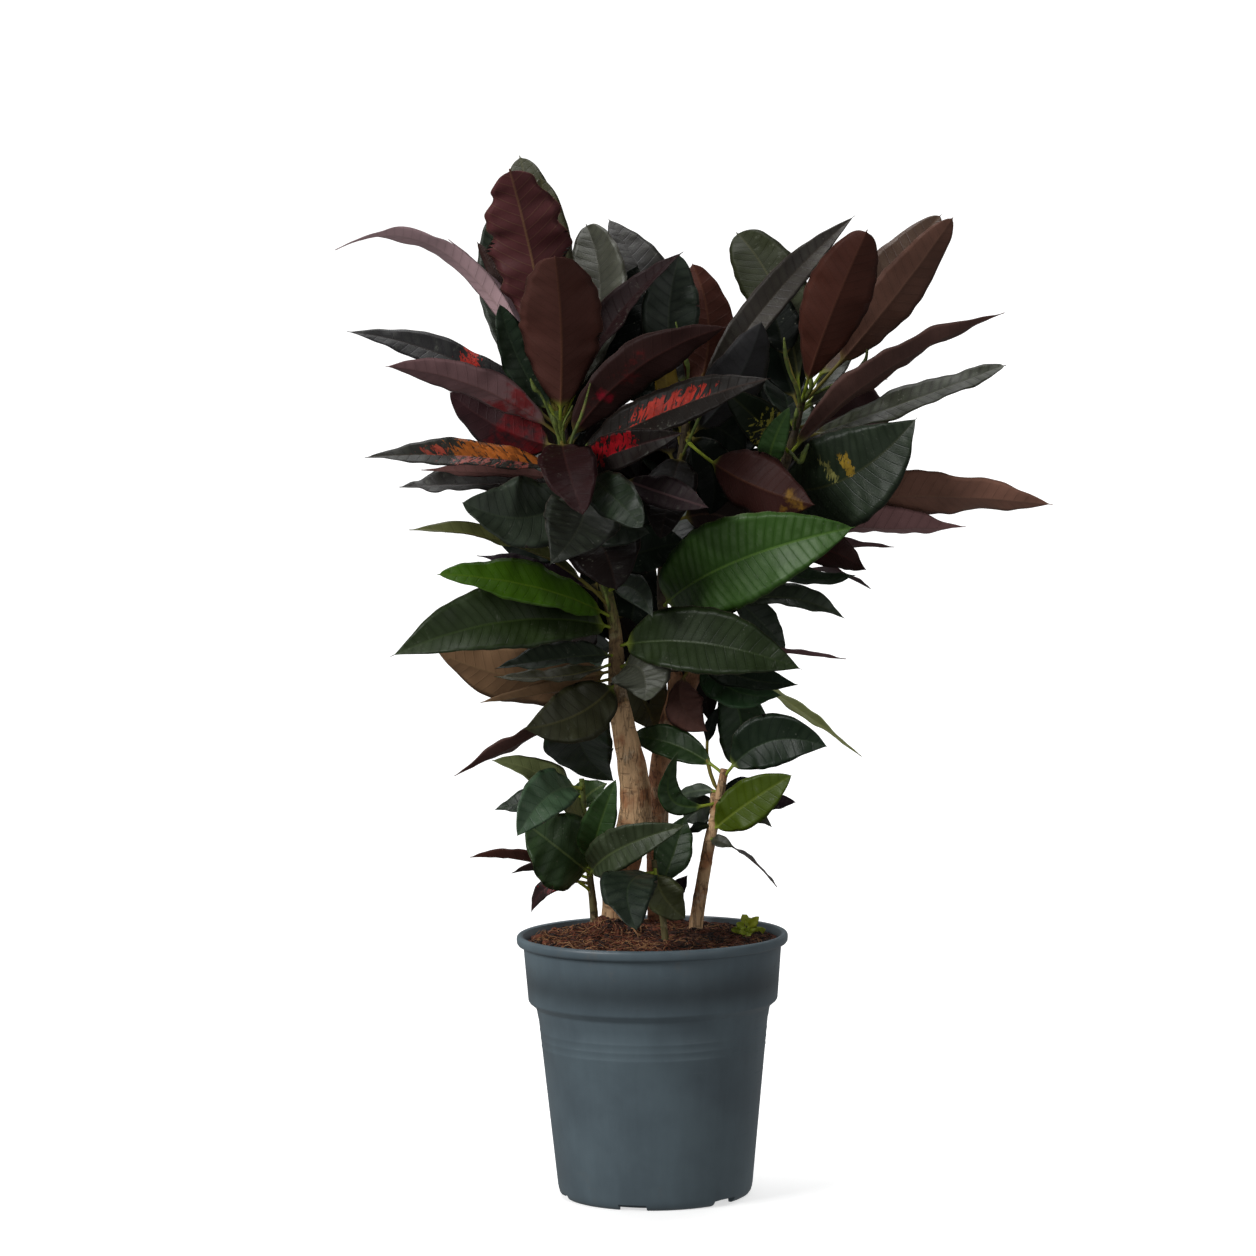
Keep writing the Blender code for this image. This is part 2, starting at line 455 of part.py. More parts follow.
def add_leaf(name, shape, group):
    """A closed leaf as an object, its skin built as a loft between unlike sections."""
    corners, triangles = shape
    shell = bmesh.new()
    verts = [shell.verts.new(corner) for corner in corners]
    for face in triangles:
        shell.faces.new([verts[i] for i in face])
    bmesh.ops.recalc_face_normals(shell, faces=shell.faces)
    mesh = bpy.data.meshes.new(name)
    shell.to_mesh(mesh)
    shell.free()
    return add_object(name, mesh, group)


def tree_of(shape):
    return BVHTree.FromPolygons(shape[0], shape[1], all_triangles=True)


def stem_tree(points, extra):
    """A plain tube of triangles round a stem's rows, to keep leaves clear of it."""
    rows = smooth_rows([(*seen(x, z, y), r / 1000 + extra) for x, z, y, r in points], 2)
    corners = [Vector((x + r * math.cos(k * math.pi / 4), y + r * math.sin(k * math.pi / 4), z))
               for x, y, z, r in rows for k in range(8)]
    triangles = []
    for i in range(len(rows) - 1):
        for k in range(8):
            a, b = 8 * i + k, 8 * i + (k + 1) % 8
            triangles += [(a, b, b + 8), (a, b + 8, a + 8)]
    return tree_of((corners, triangles))


def blade_only(shape):
    """The part of a leaf's shape past its stalk."""
    corners, triangles = shape
    return corners, [face for face in triangles if min(face) >= 6]


def natural_turn(root, middle, end):
    """The turn at which a leaf's upper face looks up, for three places along it."""
    heading = (end - root).normalized()
    facing = Vector((0, -VIEW_DISTANCE, VIEW_HEIGHT)) - middle
    facing = (facing - heading * facing.dot(heading)).normalized()
    side = facing.cross(heading) * (1 if end.x >= root.x else -1)
    up = Vector((0, 0, 1)) - heading * heading.z
    return math.degrees(math.atan2(up.dot(side), up.dot(facing)))


def row_point(place):
    """A place as seen: x, height and depth in centimetres."""
    grow = (VIEW_DISTANCE + place.y) / VIEW_DISTANCE
    return (place.x / grow * 100, ((place.z - VIEW_HEIGHT) / grow + VIEW_HEIGHT) * 100, place.y * 100)


def rear_leaf(points, height, azimuth, rise, length, width):
    """A leaf that arches away from its shoot: its row in the same form as the lists above."""
    root = on_shoot(points, height)
    out = Vector((math.cos(azimuth), math.sin(azimuth), 0))
    middle = root + (out * math.cos(rise) + Vector((0, 0, math.sin(rise)))) * length * 0.55
    fall = rise - math.radians(34)
    end = middle + (out * math.cos(fall) + Vector((0, 0, math.sin(fall)))) * length * 0.45
    turn = natural_turn(root, middle, end)
    return (height, row_point(middle), row_point(end), width, turn, 0.12, 0.6)


def settle_leaves(shoots, trunks):
    """Places for all leaves: lists of (row, number, shift) for each shoot.

    Each listed leaf is shifted in depth by the least step that clears the others. The leaves of the
    rear follow a rule: each takes the first of its draws that clears what is in place.
    """
    stems = {name: stem_tree(points, CLEARANCE / 2) for name, (points, _) in shoots.items()}
    walls = [stem_tree(points, CLEARANCE / 2) for points in trunks]
    placed = []
    settled = {name: [] for name in shoots}

    def trial(name, row, number, shift):
        """The faults of a leaf, and its trees."""
        shape = leaf_shape(row, shoots[name][0], number, shift, CLEARANCE / 2)
        whole, blade = tree_of(shape), tree_of(blade_only(shape))
        faults = sum(1 for wall in walls if whole.overlap(wall))
        faults += sum(1 for other, stem in stems.items() if other != name and whole.overlap(stem))
        faults += sum(1 for other, near, wide in placed
                      if (blade.overlap(near) if other == name else whole.overlap(wide)))
        return faults, blade, whole

    for name, (points, leaves) in shoots.items():
        for row in leaves:
            number = len(placed) + 1
            trials = []
            for k in range(25):
                shift = DEPTH_STEP * ((k + 1) // 2) * (-1) ** k
                trials.append((*trial(name, row, number, shift), shift))
                if not trials[-1][0]:
                    break
            _, blade, whole, shift = min(trials, key=lambda t: t[0])
            placed.append((name, blade, whole))
            settled[name].append((row, number, shift))
    for name, (low, high, count, seed) in REAR_LEAVES.items():
        for index in range(count):
            draw = np.random.default_rng(100 * seed + index)
            share = (index + 0.5) / count
            for _ in range(14):
                height = min(high, low + (high - low) * share + draw.uniform(-0.8, 0.8))
                azimuth = math.radians(90 + draw.uniform(-68, 68))
                rise = math.radians(draw.uniform(4, 22) + 48 * share)
                length = draw.uniform(0.105, 0.15) * (1.05 - 0.2 * share)
                row = rear_leaf(shoots[name][0], height, azimuth, rise, length, draw.uniform(3.6, 4.8))
                number = len(placed) + 1
                faults, blade, whole = trial(name, row, number, 0.0)
                if not faults:
                    placed.append((name, blade, whole))
                    settled[name].append((row, number, 0.0))
                    break
    return settled


def union_all(name, base, group, material, target):
    """One body from a base object and everything in a collection."""
    joined = base.modifiers.new("join", "BOOLEAN")
    joined.operation = "UNION"
    joined.operand_type = "COLLECTION"
    joined.collection = group
    joined.solver = "EXACT"
    mesh = evaluated_mesh(base)
    bpy.data.objects.remove(base)
    for piece in list(group.objects):
        bpy.data.objects.remove(piece)
    bpy.data.collections.remove(group)
    weld(mesh, 0.000002)
    keep_outer_body(mesh)
    return add_object(name, mesh, target, material)


def keep_outer_body(mesh):
    """Fills what a union has sealed and drops loose scraps, by keeping the largest shell."""
    shape = bmesh.new()
    shape.from_mesh(mesh)
    left = set(shape.verts)
    shells = []
    while left:
        found = {left.pop()}
        edge = list(found)
        while edge:
            near = {other for v in edge for link in v.link_edges for other in link.verts}
            edge = list(near - found)
            found |= near
        left -= found
        shells.append(found)
    largest = max(shells, key=len)
    bmesh.ops.delete(shape, geom=[v for v in shape.verts if v not in largest], context="VERTS")
    shape.to_mesh(mesh)
    shape.free()


def leafy_stem(name, rows, points, leaves, target, material, branches=()):
    """A stem, its branches and its leaves as one body."""
    group = collection(name + "_leaves")
    base = tube(name + "_stem", rows, target)
    for branch in branches:
        tube(name + "_branch", stem_rows(branch), group)
    for row, number, shift in leaves:
        add_leaf(f"{name}_leaf_{number:03d}", leaf_shape(row, points, number, shift), group)
    return union_all(name, base, group, material, target)


def heap(x, y):
    """Height of the coir above its level."""
    return sum(h * math.exp(-((x - cx) ** 2 + (y - cy) ** 2) / (r * r)) for cx, cy, h, r in HEAPS)


def pot_profile():
    """The pot's half section, from the inner floor's centre up, over the lip and down to the base."""
    inner = (
        (0.0, FLOOR_THICKNESS), (STEP_RADIUS - POT_WALL, FLOOR_THICKNESS),
        (STEP_RADIUS - POT_WALL + 0.0006, GROOVE_HEIGHT + FLOOR_THICKNESS),
        (0.0733, GROOVE_HEIGHT + FLOOR_THICKNESS), (0.0757 - POT_WALL, 0.0100),
        (0.0888 - POT_WALL, 0.1385), (0.0906 - POT_WALL, 0.1480), (0.0964 - POT_WALL, 0.1540),
        (0.0990 - POT_WALL, POT_HEIGHT - 0.0100), (0.1004, POT_HEIGHT - 0.0006),
    )
    outer = (
        (0.1022, POT_HEIGHT), (0.1042, POT_HEIGHT - 0.0009), (RIM_RADIUS, POT_HEIGHT - 0.0030),
        (0.1046, POT_HEIGHT - 0.0062), (0.1030, POT_HEIGHT - 0.0080), (0.0997, POT_HEIGHT - 0.0086),
        (0.0966, 0.1530), (0.0908, 0.1470), (0.0888, 0.1380), (0.0757, 0.0090), (0.0745, 0.0035),
        (0.0705, 0.0),
    )
    base = (
        (0.0680, 0.0), (0.0675, GROOVE_HEIGHT), (STEP_RADIUS + 0.0006, GROOVE_HEIGHT),
        (STEP_RADIUS, 0.0), (0.0, 0.0),
    )
    return (*inner, *outer, *base)


def soil_profile():
    """The filling's half section, from the top's centre out and down the pot's inner wall."""
    wall = POT_WALL + 2 * GAP
    floor = FLOOR_THICKNESS + GAP
    top = tuple((r, SOIL_LEVEL) for r in (0.0, 0.022, 0.044, 0.068))
    side = (
        (0.0984 - wall, SOIL_LEVEL - 0.001), (0.0964 - wall, 0.1540), (0.0906 - wall, 0.1485),
        (0.0888 - wall, 0.1385), (0.0757 - wall, 0.0105), (0.0725 - GAP, GROOVE_HEIGHT + floor),
        (STEP_RADIUS - wall + 0.0006, GROOVE_HEIGHT + floor), (STEP_RADIUS - wall, floor), (0.0, floor),
    )
    return (*top, *side)


def cut(piece, cutters):
    """Cuts every object of a collection out of the piece, and removes them."""
    hole = piece.modifiers.new("cut", "BOOLEAN")
    hole.operation = "DIFFERENCE"
    hole.operand_type = "COLLECTION"
    hole.collection = cutters
    hole.solver = "EXACT"
    mesh = evaluated_mesh(piece)
    piece.modifiers.clear()
    piece.data = mesh
    for tool in list(cutters.objects):
        bpy.data.objects.remove(tool)


def make_pot(parts, cutters):
    pot = turned("pot", pot_profile(), parts, finish("slate plastic", (0.055, 0.075, 0.092), 0.45))
    for k in range(NOTCH_COUNT):
        bpy.ops.mesh.primitive_cube_add(size=1)
        tool = bpy.context.active_object
        tool.name = f"notch_{k}"
        for owner in list(tool.users_collection):
            owner.objects.unlink(tool)
        cutters.objects.link(tool)
        angle = NOTCH_AZIMUTH + 2 * math.pi * k / NOTCH_COUNT
        tool.scale = (0.024, NOTCH_WIDTH, 2 * NOTCH_HEIGHT)
        tool.rotation_euler = (0, 0, angle)
        tool.location = (0.0760 * math.cos(angle), 0.0760 * math.sin(angle), 0)
        tool.hide_render = True
        tool.display_type = "WIRE"
    cut(pot, cutters)
    pot.data.set_sharp_from_angle(angle=math.radians(40))
    return pot


def make_soil(parts, cutters, stems):
    """The coir filling, with a plain blind hole for each stem."""
    soil = turned("soil", soil_profile(), parts, finish("coir", (0.16, 0.075, 0.042), 0.95))
    for vertex in soil.data.vertices:
        if vertex.co.z > SOIL_LEVEL - 0.002:
            vertex.co.z += heap(vertex.co.x, vertex.co.y) * (1 if math.hypot(*vertex.co.xy) < 0.09 else 0.5)
    for k, points in enumerate(stems):
        rows = stem_rows(points, GAP)
        x, y, z, radius = rows[0]
        above = [row for row in rows[1:] if row[2] > SOIL_LEVEL + 0.018]
        inside = [row for row in rows[1:] if row[2] <= SOIL_LEVEL + 0.018]
        tool = tube(f"hole_{k}", [(x, y, z - GAP, radius), *inside, *above[:1]], cutters)
        tool.hide_render = True
        tool.display_type = "WIRE"
    cut(soil, cutters)
    return soil


def main():
    for old in list(bpy.data.objects):
        bpy.data.objects.remove(old)
    parts = collection("potted_croton")
    cutters = collection("cutters")
    bark = finish("bark", (0.36, 0.25, 0.17), 0.85)
    leaf_dark = finish("dark leaf", (0.05, 0.035, 0.035), 0.4)
    leaf_green = finish("green leaf", (0.07, 0.12, 0.05), 0.4)
    sprout = finish("sprout", (0.25, 0.34, 0.05), 0.5)

    shoots = {
        "left_foliage": (SHOOT_LEFT, LEFT_LEAVES),
        "middle_foliage": (SHOOT_MIDDLE, MIDDLE_LEAVES),
        "right_foliage": (SHOOT_RIGHT, RIGHT_LEAVES),
        "basal_left": (SHOOT_BASAL_LEFT, BASAL_LEFT_LEAVES),
        "basal_front": (SHOOT_BASAL_FRONT, BASAL_FRONT_LEAVES),
        "side_stem": (SIDE_TRUNK, SIDE_LEAVES),
        "seedlings": (SHOOT_SEEDLINGS, SEEDLING_LEAVES),
    }
    finishes = {"left_foliage": leaf_dark, "middle_foliage": leaf_dark, "right_foliage": leaf_dark,
                "basal_left": leaf_green, "basal_front": leaf_green, "side_stem": leaf_green,
                "seedlings": sprout}
    trunks = (TRUNK_LEFT, TRUNK_MIDDLE, TRUNK_MIDDLE_FORK)

    make_pot(parts, cutters)
    make_soil(parts, cutters, (TRUNK_LEFT, TRUNK_MIDDLE, SIDE_TRUNK, SHOOT_BASAL_LEFT,
                               SHOOT_BASAL_FRONT, SHOOT_SEEDLINGS))
    tube("trunk_left", stem_rows(TRUNK_LEFT), parts).data.materials.append(bark)
    fork = collection("fork")
    tube("trunk_middle_fork", stem_rows(TRUNK_MIDDLE_FORK), fork)
    stem = tube("trunk_middle_stem", stem_rows(TRUNK_MIDDLE), parts)
    union_all("trunk_middle", stem, fork, bark, parts)

    carriers = {"left_foliage": TRUNK_LEFT, "middle_foliage": TRUNK_MIDDLE,
                "right_foliage": TRUNK_MIDDLE_FORK}
    for name, leaves in settle_leaves(shoots, trunks).items():
        points = shoots[name][0]
        rows = seated_rows(points, carriers[name]) if name in carriers else stem_rows(points)
        branches = (SIDE_TRUNK_FORK,) if name == "side_stem" else ()
        leafy_stem(name, rows, points, leaves, parts, finishes[name], branches)
    bpy.data.collections.remove(cutters)


main()
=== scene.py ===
import json
import math

import bmesh
import bpy
import numpy as np
from mathutils import Matrix, Vector
from mathutils.bvhtree import BVHTree

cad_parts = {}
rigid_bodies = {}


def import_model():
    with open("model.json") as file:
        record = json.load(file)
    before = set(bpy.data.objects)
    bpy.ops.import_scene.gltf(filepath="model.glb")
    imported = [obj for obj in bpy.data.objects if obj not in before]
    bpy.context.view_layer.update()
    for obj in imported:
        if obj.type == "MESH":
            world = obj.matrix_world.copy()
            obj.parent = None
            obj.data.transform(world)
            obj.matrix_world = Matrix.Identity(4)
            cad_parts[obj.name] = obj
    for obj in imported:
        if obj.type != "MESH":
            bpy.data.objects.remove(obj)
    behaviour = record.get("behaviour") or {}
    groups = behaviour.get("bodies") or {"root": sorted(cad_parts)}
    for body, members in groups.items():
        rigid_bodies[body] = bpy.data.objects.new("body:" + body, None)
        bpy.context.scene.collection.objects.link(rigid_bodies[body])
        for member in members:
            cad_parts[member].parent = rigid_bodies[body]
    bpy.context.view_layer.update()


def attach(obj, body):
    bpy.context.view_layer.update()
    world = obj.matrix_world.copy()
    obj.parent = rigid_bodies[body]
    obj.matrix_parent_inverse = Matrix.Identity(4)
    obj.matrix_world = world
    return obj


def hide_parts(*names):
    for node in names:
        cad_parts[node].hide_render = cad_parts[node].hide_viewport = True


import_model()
print("frame loaded")

# A potted croton: fine leaves, stems, coir and pot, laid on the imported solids. Metres, +Z up.
# Leaf and stem rows are in centimetres as they look from the eye, on the upright plane through the
# pot's axis, with a depth behind that plane. Angles are in degrees.
eye = {"distance": 3.28, "height": 0.655, "lens": 122.22, "pitch": 3.748, "yaw": -0.2734, "roll": -0.75}


def srgb(red, green, blue, alpha=1.0):
    # a colour from 0 to 255 as the linear values that shaders and attributes take
    scaled = [value / 255 for value in (red, green, blue)]
    linear = [v / 12.92 if v <= 0.04045 else ((v + 0.055) / 1.055) ** 2.4 for v in scaled]
    return (*linear, alpha)


def seen(x, height, depth):
    # the place of a point seen at x and height on the pot's plane
    grow = (eye["distance"] + depth / 100) / eye["distance"]
    return Vector((x / 100 * grow, depth / 100, eye["height"] + (height / 100 - eye["height"]) * grow))


# Stems: seen x, seen height, depth (cm) and radius (mm), from the foot up
trunkLeft = (
    (-2.6, 17.5, 2.6, 12.0), (-2.6, 21.0, 2.6, 13.0), (-2.5, 24.0, 2.6, 12.8), (-1.8, 27.0, 2.5, 12.8),
    (-1.15, 30.0, 2.5, 12.6), (-1.35, 33.0, 2.5, 11.4), (-1.95, 36.0, 2.5, 9.4), (-2.35, 38.3, 2.5, 8.2),
)
trunkMiddle = (
    (0.4, 17.5, 5.6, 8.6), (0.5, 22.0, 5.6, 8.8), (0.5, 27.0, 5.6, 8.6), (0.6, 31.0, 5.6, 8.6),
    (1.0, 34.5, 5.5, 8.2), (1.7, 37.0, 5.5, 8.6), (2.1, 38.6, 5.4, 7.6), (2.0, 40.6, 5.4, 5.6),
)
trunkMiddleFork = (
    (1.8, 37.0, 5.5, 6.0), (2.9, 39.2, 5.4, 6.6), (3.9, 41.2, 5.2, 5.6),
)
sideTrunk = (
    (3.1, 18.0, 1.0, 5.0), (3.4, 21.0, 1.0, 5.4), (3.9, 24.0, 1.0, 5.0), (4.55, 27.5, 0.9, 4.6),
    (5.15, 30.0, 0.9, 3.8), (5.75, 33.0, 0.8, 3.2),
)
sideTrunkFork = (
    (4.6, 27.6, 1.0, 3.4), (4.9, 29.2, 1.2, 3.4), (4.9, 31.4, 1.4, 3.0),
)
shootLeft = (
    (-2.42, 38.9, 2.5, 7.6), (-2.5, 41.0, 2.4, 6.6), (-2.6, 44.0, 2.2, 5.0), (-3.6, 48.5, 1.5, 4.5),
    (-5.0, 53.0, 0.5, 4.0), (-6.2, 57.0, -0.5, 3.6), (-6.8, 60.8, -1.0, 2.6),
)
shootMiddle = (
    (1.92, 41.3, 5.4, 5.0), (1.3, 44.0, 5.3, 4.2), (1.1, 48.0, 4.8, 3.8), (1.8, 53.0, 3.8, 3.8),
    (2.7, 57.0, 2.8, 3.4), (3.2, 60.8, 2.2, 2.6),
)
shootRight = (
    (4.25, 41.9, 5.2, 5.2), (5.2, 44.5, 5.0, 4.8), (7.0, 48.5, 4.4, 4.4), (9.2, 53.0, 3.2, 4.0),
    (11.0, 57.5, 2.2, 3.6), (12.1, 61.6, 1.6, 2.6),
)
shootBasalLeft = (
    (-4.35, 18.0, 3.2, 3.4), (-4.5, 22.0, 3.2, 3.2), (-4.8, 25.2, 2.9, 2.6), (-5.1, 29.0, 2.8, 2.3),
    (-5.3, 32.4, 2.8, 2.0),
)
shootBasalFront = (
    (1.1, 18.0, -1.8, 2.8), (0.9, 21.0, -1.8, 2.6), (0.5, 23.5, -2.0, 2.4), (0.2, 26.0, -2.2, 2.0),
)
shootSeedlings = (
    (7.3, 18.6, 1.2, 1.2), (7.3, 20.8, 1.2, 1.0),
)
leftLeaves = (
    # erect leaves of the crown
    (59.6, (-6.4, 67.5, -5.0), (-6.8, 72.7, -9.0), 6.9, 180, 0.09, 1.2, "maroonMauve"),
    (60.0, (-8.8, 73.6, -3.4), (-10.2, 79.4, -6.0), 6.2, 176, 0.11, 2.4, "maroonRib"),
    (60.3, (-8.2, 74.4, 5.6), (-9.4, 80.4, 9.8), 4.6, 6, 0.12, 1.8, "olive"),
    (60.3, (-7.4, 73.8, 2.4), (-7.8, 78.8, 4.6), 4.0, 20, 0.12, 1.4, "olive"),
    (60.0, (-10.9, 70.6, 6.4), (-11.3, 76.0, 10.0), 4.5, 10, 0.12, 1.1, "greyGreen"),
    (60.4, (-19.9, 74.4, -3.0), (-23.7, 73.3, -4.2), 2.5, 128, 0.1, 0.2, "pinkStrip"),
    (60.0, (-11.4, 70.2, 3.4), (-15.0, 74.1, 4.6), 1.8, 120, 0.1, 0.4, "pinkStrip"),
    (59.8, (-10.9, 70.4, -0.6), (-12.8, 73.9, -0.8), 1.9, 168, 0.1, 1.0, "maroon"),
    (60.0, (-9.8, 65.0, 0.2), (-11.1, 69.1, 0.8), 3.2, 15, 0.12, 0.8, "deepGreen"),
    # spreading leaves of the crown, to the left
    (59.4, (-15.1, 65.0, -1.2), (-22.9, 67.1, -2.0), 3.2, 40, 0.08, 0.4, "redSpot"),
    (58.8, (-12.8, 62.7, -2.4), (-20.0, 64.4, -4.0), 3.4, 142, 0.1, 0.5, "mauveRed"),
    (58.0, (-12.1, 60.1, 0.4), (-15.1, 62.4, 0.8), 5.2, 160, 0.1, 0.7, "glowRed"),
    (56.2, (-13.5, 57.4, -3.2), (-21.7, 57.4, -4.6), 3.0, 44, 0.1, 0.4, "orangeComb"),
    (55.6, (-12.7, 56.2, -2.0), (-17.4, 56.4, -2.8), 2.0, 120, 0.1, 0.4, "pinkFold"),
    (55.2, (-13.6, 55.2, -0.6), (-19.1, 55.1, -1.2), 3.8, 56, 0.1, 0.4, "darkEdge"),
    (54.6, (-9.8, 52.6, -3.4), (-14.3, 53.9, -4.8), 6.4, 20, 0.08, 0.7, "sage"),
    (54.4, (-5.3, 51.7, -6.4), (-7.6, 48.9, -9.6), 6.0, 8, 0.1, 0.2, "greyHang"),
    (54.4, (-2.8, 52.2, -2.4), (0.3, 51.3, -3.4), 4.6, 10, 0.1, 0.2, "greyGreen"),
    # leaves that cross to the right of the crown
    (59.8, (-3.4, 71.1, 5.4), (-4.4, 75.1, 9.0), 5.2, 18, 0.14, 1.3, "sheen"),
    (59.6, (-1.9, 68.2, 0.6), (3.1, 72.9, 0.6), 3.6, 52, 0.12, 0.4, "darkMaroon"),
    (57.8, (-0.6, 64.0, -3.0), (6.4, 67.1, -5.4), 4.2, 152, 0.08, 0.5, "bloodRed"),
    (56.8, (2.5, 61.0, -5.2), (9.7, 63.1, -8.6), 3.8, 30, 0.08, 0.4, "redComb"),
    (55.8, (-2.1, 57.6, -5.6), (3.0, 59.0, -8.4), 3.2, 12, 0.1, 0.4, "redPatch"),
    (58.6, (-6.0, 56.2, -6.8), (-4.9, 52.7, -10.6), 4.6, 10, 0.14, 0.8, "darkMaroon"),
    (56.6, (-2.7, 54.3, -7.2), (-0.3, 51.7, -10.6), 3.5, 8, 0.34, 0.9, "deepGreen"),
    (57.2, (2.3, 54.0, -5.2), (4.8, 53.2, -8.0), 2.7, 14, 0.38, 0.1, "mauveTip"),
    # leaves below the crown, to the left
    (45.6, (-10.1, 50.5, -3.2), (-18.4, 51.8, -4.4), 3.2, 62, 0.2, 0.4, "oliveStrip"),
    (46.4, (-8.5, 48.7, 0.8), (-13.2, 49.75, 0.8), 2.2, 60, 0.16, 0.2, "purple"),
    (44.8, (-9.3, 47.4, -2.4), (-16.3, 48.35, -4.0), 4.5, 44, 0.08, 0.8, "bright"),
    (44.0, (-10.7, 44.65, -3.6), (-20.0, 42.0, -5.6), 6.2, 26, 0.04, 0.2, "bigGreen"),
    (41.9, (-7.0, 41.7, -1.6), (-11.9, 41.0, -2.6), 3.2, 48, 0.06, 0.4, "greyGreen"),
    (40.8, (-9.8, 40.3, 2.6), (-16.5, 42.5, 2.4), 5.4, 152, 0.06, 0.3, "tan"),
    (41.4, (-7.0, 40.3, -0.2), (-12.0, 40.4, -0.8), 2.3, 60, 0.1, 0.3, "olive"),
    (40.2, (-8.1, 39.1, 0.4), (-13.1, 38.4, -0.4), 2.1, 118, 0.14, 0.2, "tan"),
    (39.0, (-10.0, 35.3, 3.4), (-15.2, 32.7, 3.6), 2.5, 118, 0.14, 0.3, "purpleBrown"),
    (40.0, (-6.5, 37.0, -2.0), (-9.8, 36.3, -3.6), 4.6, 4, 0.08, 0.4, "olive"),
    (39.0, (-5.3, 35.1, 5.0), (-2.7, 32.1, 5.4), 5.8, 14, 0.1, 0.5, "deepGreen"),
    # leaves below the crown, to the right and inside
    (42.6, (5.2, 42.6, -3.0), (11.9, 40.6, -4.2), 5.8, 12, 0.06, 0.3, "bigGreen"),
    (40.9, (-0.3, 40.1, -5.0), (-0.3, 38.3, -8.6), 5.4, 4, 0.12, 0.9, "sheen"),
    (50.0, (-3.2, 49.8, -2.6), (-2.4, 46.9, -4.6), 5.8, 6, 0.1, 0.8, "blackBrown"),
    (46.8, (-0.9, 46.9, -1.6), (0.4, 44.7, -3.6), 2.4, 8, 0.14, 0.2, "greyGreen"),
    (48.6, (-1.2, 49.6, 3.2), (3.0, 50.6, 4.4), 4.4, 20, 0.12, 0.5, "blackGreen"),
    (52.0, (-7.6, 50.8, 2.6), (-11.4, 50.6, 3.4), 4.0, 20, 0.12, 0.5, "blackGreen"),
    (59.0, (-2.9, 66.0, 3.0), (-0.4, 72.0, 5.0), 5.4, 12, 0.12, 0.6, "blackGreen"),
    (41.6, (-0.3, 38.1, 7.0), (0.6, 35.8, 7.5), 4.6, 10, 0.12, 0.6, "olive"),
    (49.4, (-4.9, 44.5, 3.4), (-6.4, 46.6, 4.4), 5.4, 16, 0.12, 0.6, "blackBrown"),
    (57.5, (-5.4, 59.6, 3.0), (-8.8, 58.1, 3.6), 4.0, 20, 0.12, 0.6, "blackGreen"),
    (56.0, (-2.8, 58.1, 3.6), (-0.5, 54.9, 4.6), 4.2, 14, 0.12, 0.6, "blackBrown"),
    (42.6, (-4.2, 42.3, 3.4), (-6.4, 40.8, 4.4), 4.6, 14, 0.12, 0.6, "deepGreen"),
    (42.2, (-3.75, 45.6, 3.6), (-4.7, 49.6, 4.6), 3.0, 14, 0.12, 0.6, "blackGreen"),
)
middleLeaves = (
    (60.2, (0.0, 70.9, 7.2), (-2.7, 75.5, 10.6), 5.2, 24, 0.12, 0.6, "browned"),
    (60.5, (1.9, 68.5, 1.6), (2.8, 72.7, 2.0), 4.9, 10, 0.3, 0.9, "greyGreen"),
    (60.2, (4.9, 67.3, 3.6), (3.7, 72.0, 5.0), 4.9, 172, 0.1, 1.2, "darkRed"),
    (60.0, (1.6, 63.0, -0.2), (1.9, 65.6, -0.4), 1.9, 10, 0.20, 0.8, "ochre"),
    (58.6, (8.7, 54.7, -4.0), (13.0, 53.3, -6.6), 5.2, 160, 0.28, 0.4, "flecked"),
    (59.4, (10.95, 70.5, 1.8), (16.3, 75.5, 4.2), 3.0, 12, 0.1, 0.4, "browned"),
    (45.6, (8.3, 49.6, -4.4), (16.1, 51.6, -7.4), 7.4, 2, 0.04, 0.6, "bands"),
    (57.4, (1.7, 54.0, -4.4), (1.0, 50.8, -7.8), 4.0, 8, 0.12, 0.9, "blackBrown"),
    (59.2, (5.2, 55.3, -1.2), (4.8, 52.6, -2.6), 3.8, 12, 0.1, 0.6, "blackGreen"),
    (52.0, (5.6, 52.6, 0.6), (7.9, 48.8, 0.4), 5.0, 16, 0.12, 0.5, "blackBrown"),
    (58.4, (7.4, 63.5, -1.4), (9.0, 67.5, -3.2), 4.6, 160, 0.12, 0.7, "slate"),
    (58.6, (4.2, 59.5, 4.0), (7.7, 57.6, 5.5), 5.2, 8, 0.12, 0.7, "blackGreen"),
    (51.0, (-0.1, 52.7, 4.5), (-2.4, 48.8, 5.5), 4.8, 12, 0.12, 0.6, "blackGreen"),
    (58.0, (0.7, 62.2, 2.6), (-1.8, 61.6, 3.4), 3.4, 20, 0.12, 0.6, "blackGreen"),
    (49.0, (-0.4, 47.7, 7.6), (-1.4, 42.2, 8.6), 4.8, 10, 0.12, 0.6, "blackGreen"),
)
